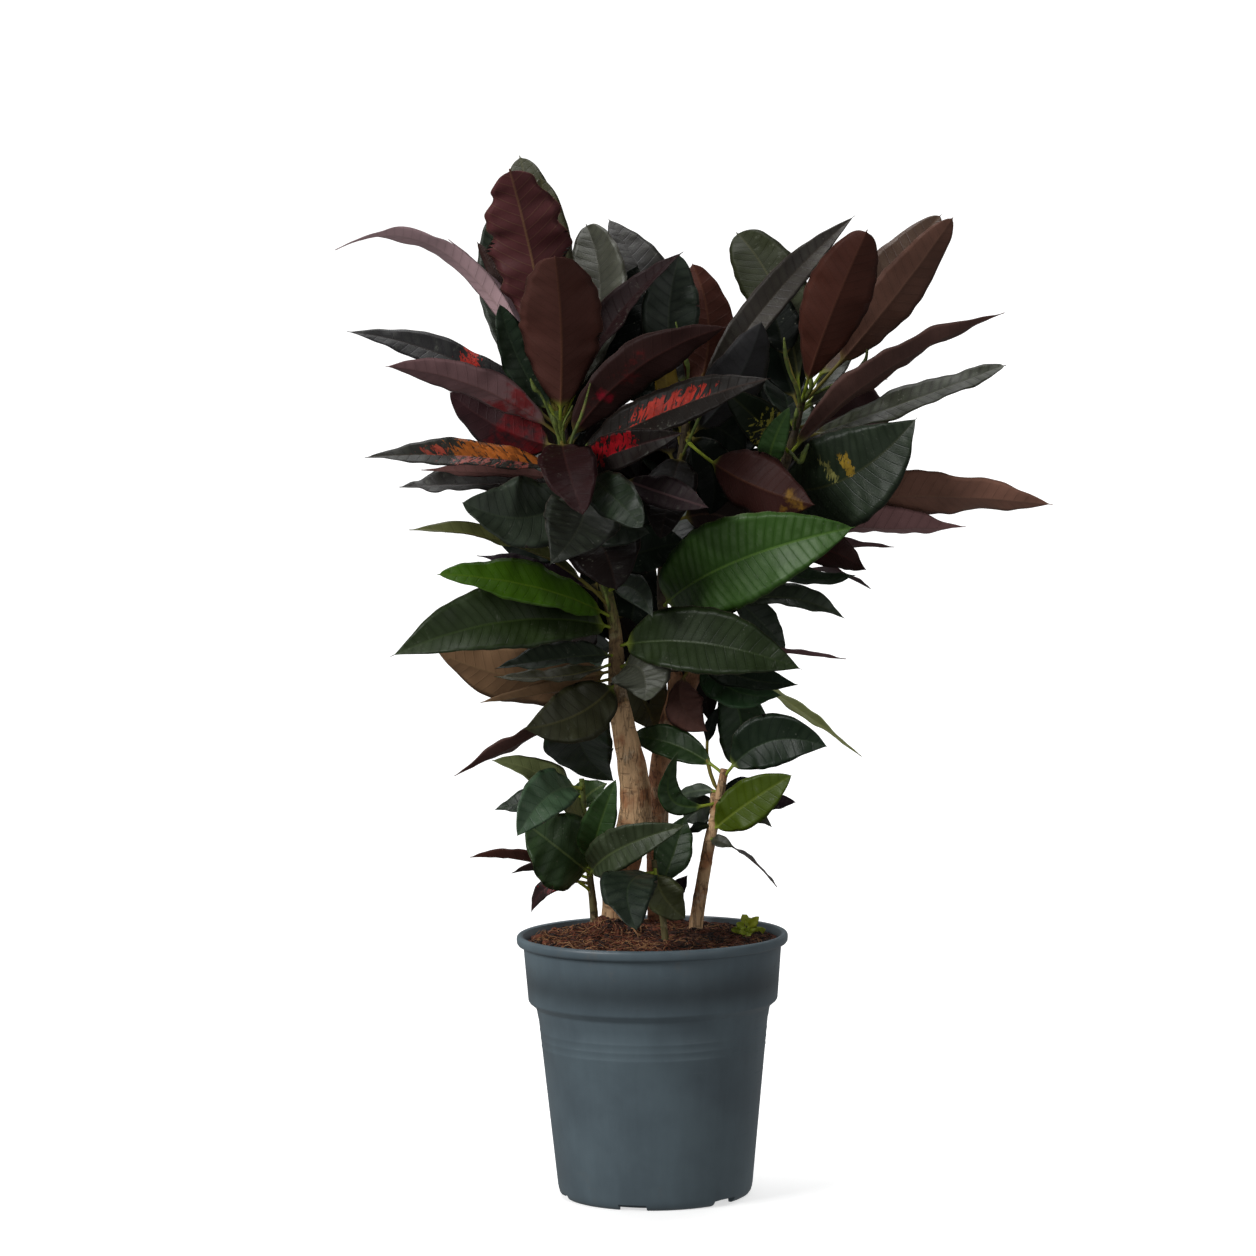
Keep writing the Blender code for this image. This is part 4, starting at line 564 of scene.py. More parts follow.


# Looks of the leaves: upper face, underside, midrib, stalk, and how strong the pale bands of painted sheen
# between the veins are. Marks are listed further down.
greenStalk = (146, 162, 52)
redStalk = (122, 112, 52)
looks = {
    "maroon": ((34, 30, 26), (70, 38, 30), (88, 54, 42), greenStalk, 0.1),
    "maroonRib": ((36, 30, 26), (82, 42, 42), (134, 100, 66), redStalk, 0.3),
    "oliveLit": ((66, 70, 38), (78, 72, 38), (96, 98, 54), greenStalk, 0.4),
    "olive": ((52, 52, 30), (78, 72, 38), (94, 90, 50), greenStalk, 0.3),
    "khaki": ((38, 42, 22), (84, 78, 42), (76, 76, 44), greenStalk, 0.2),
    "khakiDark": ((52, 38, 30), (60, 44, 36), (74, 56, 42), greenStalk, 0.2),
    "greyGreen": ((34, 42, 32), (62, 42, 38), (54, 62, 42), greenStalk, 0.5),
    "deepGreen": ((24, 40, 22), (54, 38, 34), (44, 62, 32), greenStalk, 0.3),
    "midGreen": ((34, 58, 24), (66, 64, 38), (66, 88, 38), greenStalk, 0.5),
    "bigGreen": ((34, 49, 20), (66, 58, 36), (58, 76, 34), greenStalk, 0.42),
    "lightRib": ((46, 66, 34), (64, 56, 38), (112, 126, 72), greenStalk, 0.4),
    "blueGreen": ((36, 52, 40), (60, 50, 42), (62, 82, 56), greenStalk, 0.5),
    "bands": ((48, 80, 24), (62, 62, 34), (100, 132, 56), greenStalk, 1.12),
    "bright": ((54, 88, 6), (84, 96, 32), (92, 116, 32), greenStalk, 0.4),
    "lime": ((78, 96, 8), (104, 118, 40), (134, 146, 52), greenStalk, 0.3),
    "sprout": ((134, 146, 34), (140, 148, 54), (150, 158, 60), greenStalk, 0.2),
    "sheen": ((58, 60, 50), (72, 62, 56), (74, 76, 62), greenStalk, 0.5),
    "browned": ((44, 40, 36), (72, 58, 50), (58, 54, 46), greenStalk, 0.3),
    "slate": ((38, 40, 40), (48, 46, 46), (50, 52, 48), redStalk, 0.2),
    "greyHang": ((30, 34, 28), (60, 50, 48), (52, 56, 44), redStalk, 0.4),
    "darkEdge": ((30, 28, 26), (66, 44, 48), (56, 46, 40), redStalk, 0.2),
    # blackGreen and blackBrown: near-black leaf colour that is partly painted shade of the crown's inside
    "blackGreen": ((14, 22, 15), (34, 24, 24), (32, 38, 24), redStalk, 0.0),
    "blackBrown": ((20, 14, 12), (36, 22, 20), (40, 27, 21), redStalk, 0.0),
    "darkMaroon": ((40, 20, 21), (50, 27, 28), (58, 34, 32), redStalk, 0.0),
    "purple": ((32, 22, 28), (54, 34, 42), (56, 38, 42), redStalk, 0.1),
    "purpleBrown": ((52, 34, 34), (88, 60, 54), (92, 66, 58), redStalk, 0.1),
    "mauve": ((60, 48, 50), (112, 84, 88), (122, 94, 90), redStalk, 0.1),
    "greyMauve": ((62, 56, 54), (96, 82, 82), (100, 86, 82), redStalk, 0.1),
    "mauveRed": ((52, 38, 40), (122, 92, 94), (116, 84, 82), redStalk, 0.1),
    "mauveTip": ((40, 30, 32), (110, 86, 88), (96, 72, 72), redStalk, 0.2),
    "mauveBrown": ((62, 50, 46), (106, 74, 66), (124, 92, 78), greenStalk, 0.1),
    "pinkEdge": ((56, 44, 34), (100, 68, 56), (118, 84, 68), redStalk, 0.1),
    "glowRed": ((42, 24, 24), (54, 27, 30), (72, 38, 38), redStalk, 0.1),
    "bloodRed": ((34, 20, 20), (42, 23, 21), (62, 32, 28), redStalk, 0.1),
    "darkRed": ((40, 28, 22), (64, 31, 22), (86, 52, 34), greenStalk, 0.1),
    "redSpot": ((40, 38, 38), (84, 60, 62), (62, 54, 48), redStalk, 0.2),
    "orangeComb": ((38, 38, 34), (92, 64, 62), (66, 56, 40), redStalk, 0.3),
    "redComb": ((26, 22, 19), (50, 30, 30), (62, 42, 34), redStalk, 0.0),
    "redPatch": ((26, 20, 18), (54, 28, 28), (60, 30, 28), redStalk, 0.1),
    "yellowStreak": ((34, 46, 32), (58, 50, 40), (62, 66, 38), greenStalk, 0.4),
    "yellowComb": ((20, 28, 16), (54, 50, 32), (52, 56, 26), greenStalk, 0.0),
    "flecked": ((44, 26, 20), (55, 27, 24), (80, 46, 30), greenStalk, 0.1),
    "oliveStrip": ((84, 88, 48), (96, 84, 50), (108, 108, 62), redStalk, 0.2),
    "oliveBands": ((52, 54, 30), (104, 88, 84), (84, 86, 50), redStalk, 0.8),
    "maroonMauve": ((34, 30, 26), (73, 44, 39), (96, 62, 46), greenStalk, 0.1),
    "sage": ((46, 54, 42), (62, 52, 44), (66, 76, 56), greenStalk, 0.4),
    "sageBands": ((50, 60, 38), (66, 66, 44), (84, 96, 58), greenStalk, 0.8),
    "dullGreen": ((52, 70, 48), (62, 56, 44), (70, 86, 60), greenStalk, 0.4),
    "paleOlive": ((80, 86, 52), (84, 78, 52), (100, 104, 66), greenStalk, 0.2),
    # pinkStrip is lighter than the leaves' own colour: painted light on two strongly lit leaves
    "pinkStrip": ((90, 76, 78), (182, 152, 156), (170, 142, 142), redStalk, 0.1),
    "pinkFold": ((78, 62, 62), (150, 108, 106), (140, 104, 100), redStalk, 0.1),
    "paleBrown": ((60, 46, 38), (124, 88, 74), (134, 100, 82), redStalk, 0.1),
    "ochre": ((110, 88, 20), (120, 100, 34), (126, 106, 40), greenStalk, 0.1),
    "tan": ((44, 44, 26), (118, 90, 64), (130, 104, 72), redStalk, 0.2),
}
# leaves of the shaded inside, which have no gloss
dull = {"blackGreen", "blackBrown", "darkMaroon", "redComb", "redPatch", "yellowComb", "purple", "mauveTip",
        "bloodRed", "khaki"}
# Marks: colour, from and to along the blade, the side (-1, 1 or 0 for both), the reach from the
# midrib out, and the strength
marks = {
    "redSpot": (((186, 50, 38), 0.37, 0.47, -1, 1.15, 1.1),),
    "mauveRed": (((122, 22, 26), 0.00, 0.36, 0, 0.95, 0.85),),
    "glowRed": (((112, 16, 22), 0.00, 0.56, 0, 1.0, 0.80),),
    "orangeComb": (((172, 94, 34), -0.1, 0.54, -1, 1.1, 1.15), ((150, 62, 46), 0.53, 0.70, -1, 0.7, 0.62),
                   ((150, 78, 70), 0.10, 0.56, 1, 0.95, 0.55)),
    "redComb": (((146, 34, 20), 0.30, 0.68, 1, 0.66, 0.95),),
    "redPatch": (((130, 16, 24), 0.06, 0.62, 1, 0.90, 1.1), ((110, 16, 20), 0.06, 0.3, -1, 0.6, 0.7)),
    "yellowStreak": (((126, 124, 70), 0.36, 0.41, 1, 0.62, 1.1), ((150, 122, 40), 0.49, 0.54, 1, 0.46, 1.1)),
    "yellowComb": (((122, 118, 48), 0.24, 0.56, 0, 1.0, 0.8),),
    "flecked": (((150, 112, 32), 0.74, 0.98, 0, 0.85, 0.62),),
    "darkRed": (((150, 140, 44), 0.05, 0.25, 0, 0.6, 0.55),),
    "bloodRed": (((150, 18, 42), 0.22, 0.30, 0, 0.50, 0.9), ((96, 20, 22), 0.05, 0.55, 0, 0.60, 0.5)),
}


# Mesh helpers

def closedSkin(shape, places, paints, faceFinish=None):
    # a grid rolled into a closed skin, whose rows run along the piece and whose columns go round it
    rows, columns = places.shape[:2]
    made = bmesh.ops.create_grid(shape, x_segments=columns - 1, y_segments=rows - 1, size=1)["verts"]
    spots = places.tolist()
    values = [(layer, table.tolist()) for layer, table in paints]
    cell = {}
    for vertex in made:
        column = round((vertex.co.x + 1) / 2 * (columns - 1))
        row = round((vertex.co.y + 1) / 2 * (rows - 1))
        cell[vertex] = (row, column)
    for vertex, (row, column) in cell.items():
        vertex.co = spots[row][column]
        for layer, table in values:
            vertex[layer] = table[row][column]
    if faceFinish:
        for face in {face for vertex in made for face in vertex.link_faces}:
            face.material_index = faceFinish(min(cell[corner][1] for corner in face.verts))


def finishPiece(name, shape, materials, merge=0.000004):
    # closes the seams and poles of a bmesh and makes it a smooth-shaded piece
    bmesh.ops.remove_doubles(shape, verts=shape.verts, dist=merge)
    bmesh.ops.recalc_face_normals(shape, faces=shape.faces)
    mesh = bpy.data.meshes.new(name)
    shape.to_mesh(mesh)
    shape.free()
    mesh.shade_smooth()
    for material in materials:
        mesh.materials.append(material)
    piece = bpy.data.objects.new(name, mesh)
    bpy.context.scene.collection.objects.link(piece)
    return piece


def setPiece(piece, slot, *nodes):
    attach(piece, "root")
    if nodes:
        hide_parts(*nodes)
    mesh = piece.data
    print(f"{piece.name}: {sum(len(face.vertices) - 2 for face in mesh.polygons)} triangles")


def smooth(low, high, value):
    t = np.clip((value - low) / (high - low), 0, 1)
    return t * t * (3 - 2 * t)


def turnedFrames(line):
    # two directions square to a line of places, carried along it without a twist
    ahead = np.gradient(line, axis=0)
    ahead /= np.linalg.norm(ahead, axis=1)[:, None]
    side = np.cross(ahead[0], (0.0, 1.0, 0.0))
    if np.linalg.norm(side) < 0.2:
        side = np.cross(ahead[0], (1.0, 0.0, 0.0))
    sides = []
    for direction in ahead:
        side = side - direction * side.dot(direction)
        side = side / np.linalg.norm(side)
        sides.append(side)
    sides = np.array(sides)
    return sides, np.cross(ahead, sides)


def tubePlaces(line, radii, around):
    # a tube's grid of places: a radius for each row, or for each row and column
    sides, others = turnedFrames(line)
    angles = np.linspace(0, 2 * np.pi, around + 1)
    radii = np.asarray(radii)
    radii = radii[:, None] if radii.ndim == 1 else radii
    ring = (sides[:, None] * np.cos(angles)[None, :, None] + others[:, None] * np.sin(angles)[None, :, None])
    places = line[:, None] + ring * radii[:, :, None]
    return np.concatenate([np.repeat(line[:1, None], around + 1, 1), places,
                           np.repeat(line[-1:, None], around + 1, 1)])


# Shader maths as expressions

class Wire:
    def __init__(self, shader, socket):
        self.shader = shader
        self.socket = socket

    def maths(self, operation, *others):
        values = dict(enumerate((self, *others)))
        return self.shader.node("Math", {"operation": operation}, values)

    def __add__(self, other):
        return self.maths("ADD", other)

    def __sub__(self, other):
        return self.maths("SUBTRACT", other)

    def __mul__(self, other):
        return self.maths("MULTIPLY", other)

    def __truediv__(self, other):
        return self.maths("DIVIDE", other)

    def __rsub__(self, other):
        return self.shader.node("Math", {"operation": "SUBTRACT"}, {0: other, 1: self})

    __radd__ = __add__
    __rmul__ = __mul__

    def between(self, low, high):
        # 0 below low, 1 above high, and smooth from the one to the other
        return self.shader.node("MapRange", {"interpolation_type": "SMOOTHSTEP"},
                                {"Value": self, "From Min": low, "From Max": high})


class Shader:
    def __init__(self, name, roughness=0.5, **constants):
        self.material = bpy.data.materials.new(name)
        self.material.use_nodes = True
        self.tree = self.material.node_tree
        self.surface = self.tree.nodes["Principled BSDF"]
        self.surface.inputs["Roughness"].default_value = roughness
        for socket, value in constants.items():
            self.surface.inputs[socket.replace("_", " ")].default_value = value

    def node(self, kind, settings=None, values=None, output=0):
        made = self.tree.nodes.new("ShaderNode" + kind)
        for name, value in (settings or {}).items():
            setattr(made, name, value)
        for socket, value in (values or {}).items():
            if isinstance(value, Wire):
                self.tree.links.new(value.socket, made.inputs[socket])
            else:
                made.inputs[socket].default_value = value
        return Wire(self, made.outputs[output])

    def feed(self, socket, value):
        self.tree.links.new(value.socket, self.surface.inputs[socket])

    def places(self):
        return self.node("TexCoord", output="Object")

    def painted(self, name, output="Color"):
        return self.node("Attribute", {"attribute_name": name}, output=output)

    def split(self, vector):
        parts = self.node("SeparateXYZ", values={0: vector}).socket.node
        return [Wire(self, parts.outputs[i]) for i in range(3)]

    def join(self, x, y, z):
        return self.node("CombineXYZ", values={0: x, 1: y, 2: z})

    def mix(self, first, second, share):
        return self.node("Mix", {"data_type": "RGBA"}, {0: share, 6: first, 7: second}, 2)

    def scaled(self, colour, amount):
        return self.node("VectorMath", {"operation": "SCALE"}, {0: colour, 3: amount})

    def stretched(self, vector, scale):
        return self.node("Mapping", values={"Vector": vector, "Scale": scale})

    def noise(self, vector, scale, detail=3.0, roughness=0.55):
        return self.node("TexNoise", values={"Vector": vector, "Scale": scale, "Detail": detail,
                                             "Roughness": roughness})

    def bump(self, height, distance, strength=1.0):
        self.feed("Normal", self.node("Bump", values={"Height": height, "Distance": distance,
                                                      "Strength": strength}))


# Leaves

leafMake = {
    "columns": 14, "rowStep": 0.0020, "rearRowStep": 0.0034, "edgeThick": 0.00045, "ribThick": 0.0008,
    "ridge": 0.0008, "groove": 0.0004, "ribWidth": 0.0011, "stalkRadius": 0.00125,
    "veinStep": 0.0082, "veinSlope": 0.50, "veinCurve": 5.0, "veinDepth": 0.00036, "joint": 0.045,
    "buckle": 0.0008, "cusp": 0.982, "cuspWidth": 0.0009, "rearDepth": 8,
}
# leaves with a lobed edge, and leaves with more or less buckling than the rest
ragged = {"maroonRib": 0.09, "maroonMauve": 0.02, "purple": 0.03, "darkEdge": 0.03}
buckled = {"maroonRib": 3.2, "sheen": 1.6, "greyHang": 1.6, "mauve": 1.3, "bands": 0.6, "bright": 0.8}


def veinPhase(x, along):
    # 0 on a side vein, and 1 on the next one
    lean = np.abs(x) * leafMake["veinSlope"] + x * x * leafMake["veinCurve"]
    return (along - lean) / leafMake["veinStep"] + 0.5 * (x > 0)


def markAmounts(look, s, a):
    # the colour and the strength of a leaf's marks at each share s along it and a across it
    colour = np.zeros((*np.broadcast_shapes(s.shape, a.shape), 3))
    amount = np.zeros(colour.shape[:2])
    for tone, low, high, side, reach, strength in marks.get(look, ()):
        soft = min(0.12, (high - low) / 2)
        here = smooth(low - soft, low + soft, s) * (1 - smooth(high - soft, high + soft, s))
        here = here * (1 - smooth(reach - 0.15, reach + 0.1, np.abs(a))) * strength
        if side:
            here = here * (side * a > -0.02)
        colour = np.where((here > amount)[..., None], np.array(srgb(*tone)[:3]), colour)
        amount = np.maximum(amount, here)
    return np.concatenate([colour, amount[..., None]], 2)


def addLeaf(shape, layers, leaf, points, number, shift, rowStep):
    # one closed leaf from its root in the stem to its tip, painted by its look
    upper, under, rib, stem, bands = looks[leaf[7]]
    draw = np.random.default_rng(500 + number)
    length = leafLength(leaf, points)
    stalk = leaf[5]
    blade = length * (1 - stalk)
    rows = int(min(100, max(12, blade / rowStep)))
    k = np.arange(rows + 1) / rows
    shares = [stalk * i / 5 for i in range(5)]
    shares += list(stalk + (1 - stalk) * (0.65 * k + 0.35 * (0.5 - 0.5 * np.cos(np.pi * k))))
    frames = leafFrames(leaf, points, shift, shares)
    place, across, up = (np.array([row[i] for row in frames]) for i in range(3))
    s = np.array([row[3] for row in frames])[:, None]
    onBlade = np.clip(s, 0, 1)

    half, fold, wave = leafForm(leaf, number)
    body = np.clip(s[:, 0] / leafMake["cusp"], 0.0, 0.9999)
    wide = half * np.array([outline(float(v), leaf[6]) for v in body])[:, None]
    wide = np.maximum(wide, np.minimum(leafMake["cuspWidth"], 0.1 * half) * (1.25 - onBlade))
    swell = wave * np.minimum(1, wide / half * 1.4)
    swing = 2 * np.pi * 2.2 * s + 2.4 * number
    ripple = 2 * np.pi * (5.2 + draw.uniform(-0.6, 0.8)) * s + draw.uniform(0, 6)
    left = swell * (np.sin(swing) + 0.30 * np.sin(ripple))
    right = swell * (np.sin(swing + 1.9) + 0.30 * np.sin(ripple + 2.2))

    one = np.linspace(-1, 1, leafMake["columns"] + 1)
    one = np.sign(one) * np.abs(one) ** 1.6
    a = np.concatenate([one, one[::-1][1:]])[None, :]
    face = np.concatenate([np.ones(len(one)), -np.ones(len(one) - 1)])[None, :]
    reach = np.abs(a)
    frill = 1 + 0.014 * np.sin(2 * np.pi * s * blade / leafMake["veinStep"] * 0.5 + 3 * np.sign(a))
    lobes = np.sin(38 * s + 3 * np.sign(a)) + 0.6 * np.sin(71 * s + 2 + 2 * np.sign(a))
    frill = frill + ragged.get(leaf[7], 0.0) * lobes * smooth(0.05, 0.2, s)
    x = a * wide * math.cos(fold) * (1 + (frill - 1) * reach)
    along = onBlade * blade
    inside = smooth(0.03, 0.2, reach) * (1 - smooth(0.58, 0.92, reach)) * smooth(0.0, 0.1, s)
    inside = inside * (1 - smooth(0.86, 1.0, s)) * min(1.0, half / 0.02) * (0.22 + 0.6 * min(1.0, bands))
    quilt = -np.cos(2 * np.pi * veinPhase(x, along)) * leafMake["veinDepth"] * inside
    slow = 2 * np.pi * draw.uniform(3.2, 4.8) * s + draw.uniform(0, 6)
    buckle = np.sin(slow + 0.9 * a) * (0.25 + 0.75 * reach) + 0.4 * np.sin(2.3 * slow - 1.4 * a) * reach
    buckle = buckle * leafMake["buckle"] * buckled.get(leaf[7], 1.0) * min(1.0, half / 0.022)
    buckle = buckle * smooth(0.04, 0.2, s) * (1 - smooth(0.85, 1.0, s))
    z = wide * math.sin(fold) * reach**1.25 + np.where(a < 0, left, right) * reach**1.7 + quilt + buckle
    thick = leafMake["edgeThick"] + (leafMake["ribThick"] - leafMake["edgeThick"]) * (1 - reach)
    z = z + face * thick / 2 * np.sqrt(np.clip(1 - reach**8, 0, 1))
    line = np.exp(-((x / leafMake["ribWidth"]) ** 2)) * (1 - onBlade) ** 0.6
    z = z - line * np.where(face > 0, leafMake["groove"], leafMake["ridge"]) * min(1.0, half / 0.015)

    round_ = np.pi / 2 * (1 - a)
    girth = leafMake["stalkRadius"] * (1 + 0.35 * smooth(0.25, 0.0, s / max(stalk, 0.05) + 1))
    girth = np.minimum(girth, 0.32 * half)
    blend = smooth(0.0, leafMake["joint"], s)
    x = girth * np.cos(round_) * (1 - blend) + x * blend
    z = girth * face * np.sin(round_) * (1 - blend) + z * blend
    spots = place[:, None] + across[:, None] * x[..., None] + up[:, None] * z[..., None]
    spots[0] = place[0]
    spots[-1] = place[-1]

    # a random tone times the leaf's listed gain, which is partly painted light and shade
    tone = (1 + draw.uniform(-0.13, 0.13)) * leafToneAndLight.get(number, 1.0)
    warm = 1 + draw.uniform(-0.06, 0.06)
    shade = np.array([tone * warm, tone, tone / warm])
    stemColour = np.array(srgb(*stem)[:3])
    fade = smooth(-0.02, 0.07, s)[..., None]
    grid = np.ones((len(frames), a.shape[1], 1))

    def tint(colour, alpha, shading=shade):
        plain = np.array(srgb(*colour)[:3]) * shading
        return np.concatenate([grid * (stemColour * (1 - fade) + plain * fade), grid * alpha], 2)

    ribColour = tint(rib, (1 - 0.75 * onBlade)[..., None])
    # the alpha of the tint and under layers holds the strength of the bands of painted sheen
    paints = (
        (layers["tint"], tint(upper, bands)),
        (layers["under"], tint(under, bands)),
        (layers["rib"], ribColour),
        (layers["mark"], markAmounts(leaf[7], s, a * grid[..., 0])),
        (layers["leafPlace"], np.stack([x, along * grid[..., 0], reach * grid[..., 0]], 2)),
    )
    columns = leafMake["columns"]
    top = 2 if leaf[7] in dull else 0
    closedSkin(shape, spots, paints, lambda column: top if column < columns else 1)


def leafPiece(name, leaves, points, node, slot):
    # leaves whose bend lies far back have coarser rows
    shape = bmesh.new()
    layers = {key: shape.verts.layers.float_color.new(key) for key in ("tint", "under", "rib", "mark")}
    layers["leafPlace"] = shape.verts.layers.float_vector.new("leafPlace")
    for row, number, shift in leaves:
        step = leafMake["rowStep" if row[1][2] < leafMake["rearDepth"] else "rearRowStep"]
        addLeaf(shape, layers, row, points, number, shift, step)
    setPiece(finishPiece(name, shape, leafFaces), slot, node)


def leafMaterial(name, upper, gloss):
    # the blade's colour, its veins, marks and fine relief; the two faces differ in colour and gloss
    shader = Shader(name, roughness=0.42 if upper else 0.55, Specular_IOR_Level=gloss)
    x, along, reach = shader.split(shader.painted("leafPlace", "Vector"))
    base = shader.painted("tint" if upper else "under")
    bands = shader.painted("tint", "Alpha")
    ribColour = shader.painted("rib")
    ribShare = shader.painted("rib", "Alpha")
    places = shader.places()
    off = x.maths("ABSOLUTE")
    side = x.maths("GREATER_THAN", 0.0)
    lean = off * leafMake["veinSlope"] + x * x * leafMake["veinCurve"]
    phase = (along - lean) / leafMake["veinStep"] + side * 0.5
    # 1 on a side vein, 0 half way to the next one
    wave = ((phase.maths("FRACT") - 0.5).maths("ABSOLUTE")) * 2.0
    vein = wave.between(0.84, 1.0)
    cloud = shader.noise(places, 70.0, 4.0)
    fine = shader.noise(places, 420.0, 3.0)
    broad = shader.noise(places, 22.0, 2.0)

    gain = cloud * 0.55 + broad * 0.5 + 0.48
    colour = shader.scaled(base, gain)
    field = (1.0 - wave).between(0.15, 0.7) * reach.between(0.03, 0.18) * (1.0 - reach.between(0.8, 1.0))
    if upper:
        # pale bands of painted sheen between the side veins, whiter on the leaves with the strongest bands
        pale = shader.mix(shader.scaled(base, 1.5), srgb(94, 104, 84), 0.30)
        pale = shader.mix(pale, srgb(148, 164, 132), bands.between(1.0, 1.5) * 0.42)
        colour = shader.mix(colour, pale, field * bands * (cloud.between(0.35, 0.7) * 0.7 + 0.15))
        # painted shade along the sunken side veins
        colour = shader.mix(colour, shader.scaled(base, 0.62), vein * 0.45)
    else:
        colour = shader.mix(colour, shader.scaled(ribColour, 0.8), vein * 0.28)
        colour = shader.mix(colour, shader.scaled(base, 1.25), field * 0.25)
    ribLine = 1.0 - off.between(0.00045, 0.0013)
    colour = shader.mix(colour, ribColour, ribLine * ribShare * (0.75 if upper else 0.9))
    amount = shader.painted("mark", "Alpha")
    mottle = shader.noise(places, 330.0, 3.0)
    if upper:
        # marks in broken patches that lean with the side veins
        cells = shader.node("TexVoronoi", values={
            "Vector": shader.join((along - off * 0.95) / 0.0036, off / 0.0068, side * 9.0),
            "Scale": 1.0, "Randomness": 0.85}, output=1)
        pick, pale, _ = shader.split(cells)
        cover = amount + (mottle - 0.5) * 1.9 + (pick - 0.5) * 1.3 - vein * 0.45 - 0.16
        marked = cover.between(0.42, 0.60) * amount.between(0.02, 0.14)
        tone = shader.scaled(shader.painted("mark"), fine * 0.9 + pale * 0.8 + 0.12)
        colour = shader.mix(colour, tone, marked)
    else:
        # soft blotches that show through from the other face
        blotch = (amount + (cloud - 0.5) * 2.2 + (mottle - 0.5) * 0.5).between(0.45, 1.05)
        colour = shader.mix(colour, shader.painted("mark"), blotch * amount.between(0.02, 0.3) * 0.85)
    # a thin paler margin, grey patches on the upper face and the dried drops that watering leaves
    rim = reach.between(0.955, 1.0)
    colour = shader.mix(colour, shader.mix(ribColour, srgb(120, 96, 88), 0.5), rim * 0.35)
    drops = shader.node("TexVoronoi", values={"Vector": places, "Scale": 260.0})
    dust = (1.0 - drops.between(0.10, 0.24)) * shader.noise(places, 34.0, 2.0).between(0.54, 0.66)
    if upper:
        colour = shader.mix(colour, srgb(128, 130, 116), dust * 0.30)
        greyPatchNoise = shader.noise(shader.join(x * 0.5, along, side), 160.0, 5.0, 0.7)
        greyPatch = greyPatchNoise.between(0.56, 0.70) * broad.between(0.44, 0.6)
        colour = shader.mix(colour, srgb(132, 136, 122), greyPatch * 0.22)
    shader.feed("Base Color", colour)
    shader.feed("Roughness", (0.36 if upper else 0.50) + cloud * 0.16 + dust * 0.15)

    net = shader.node("TexVoronoi", {"feature": "DISTANCE_TO_EDGE"},
                      {"Vector": shader.join(x, along, 0.0), "Scale": 620.0})
    height = (1.0 - net.between(0.0, 0.25)) * (-0.25 if upper else 0.3)
    height = height + (vein * (-0.8 if upper else 0.9)) + fine * 0.35
    shader.bump(height, 0.00022, 0.75)
    return shader.material


# Stems

stemMake = {"rowStep": 0.0022, "scarStep": 0.0085, "scarHeight": 0.0007}


def stemLine(points, step):
    rows = np.array(stemRows(points, 6))
    steps = np.linalg.norm(np.diff(rows[:, :3], axis=0), axis=1)
    reach = np.concatenate([[0], np.cumsum(steps)])
    count = max(6, int(reach[-1] / step))
    at = np.linspace(0, reach[-1], count)
    return np.stack([np.interp(at, reach, rows[:, i]) for i in range(4)], 1), at


def addStem(shape, layer, points, seed, lumps, around):
    # a stem with the lumps of its bark and a crescent scar where each old leaf stood
    line, at = stemLine(points, stemMake["rowStep"])
    draw = np.random.default_rng(seed)
    angle = np.linspace(0, 2 * np.pi, around + 1)[None, :]
    radius = line[:, 3][:, None]
    up = at[:, None]
    waves = np.zeros((len(at), around + 1))
    for n in range(1, 7):
        turns = draw.integers(1, 5)
        pitch = draw.uniform(40, 330)
        waves += np.sin(turns * angle + pitch * up + draw.uniform(0, 6)) / (n + 1)
    skin = radius * (1 + 0.028 * lumps * waves)
    scars = np.zeros_like(skin)
    turn = draw.uniform(0, 6)
    place = 0.004
    while place < at[-1]:
        gap = (angle - turn + np.pi) % (2 * np.pi) - np.pi
        rise = (up - place - 0.0006 * np.cos(gap)) / 0.0015
        spot = np.exp(-((gap * radius / 0.0034) ** 2) - rise**2)
        dent = np.exp(-((gap * radius / 0.0018) ** 2) - ((up - place - 0.0012) / 0.0011) ** 2)
        scars = np.maximum(scars, spot)
        skin = skin + stemMake["scarHeight"] * lumps * (spot - 0.8 * dent)
        turn += math.radians(137.5)
        place += stemMake["scarStep"] * draw.uniform(0.6, 1.5)
    skin[:, -1] = skin[:, 0]
    places = tubePlaces(line[:, :3], skin, around)
    colour = np.zeros((*places.shape[:2], 4))
    colour[1:-1, :, 0] = scars
    colour[..., 3] = 1
    closedSkin(shape, places, ((layer, colour),))


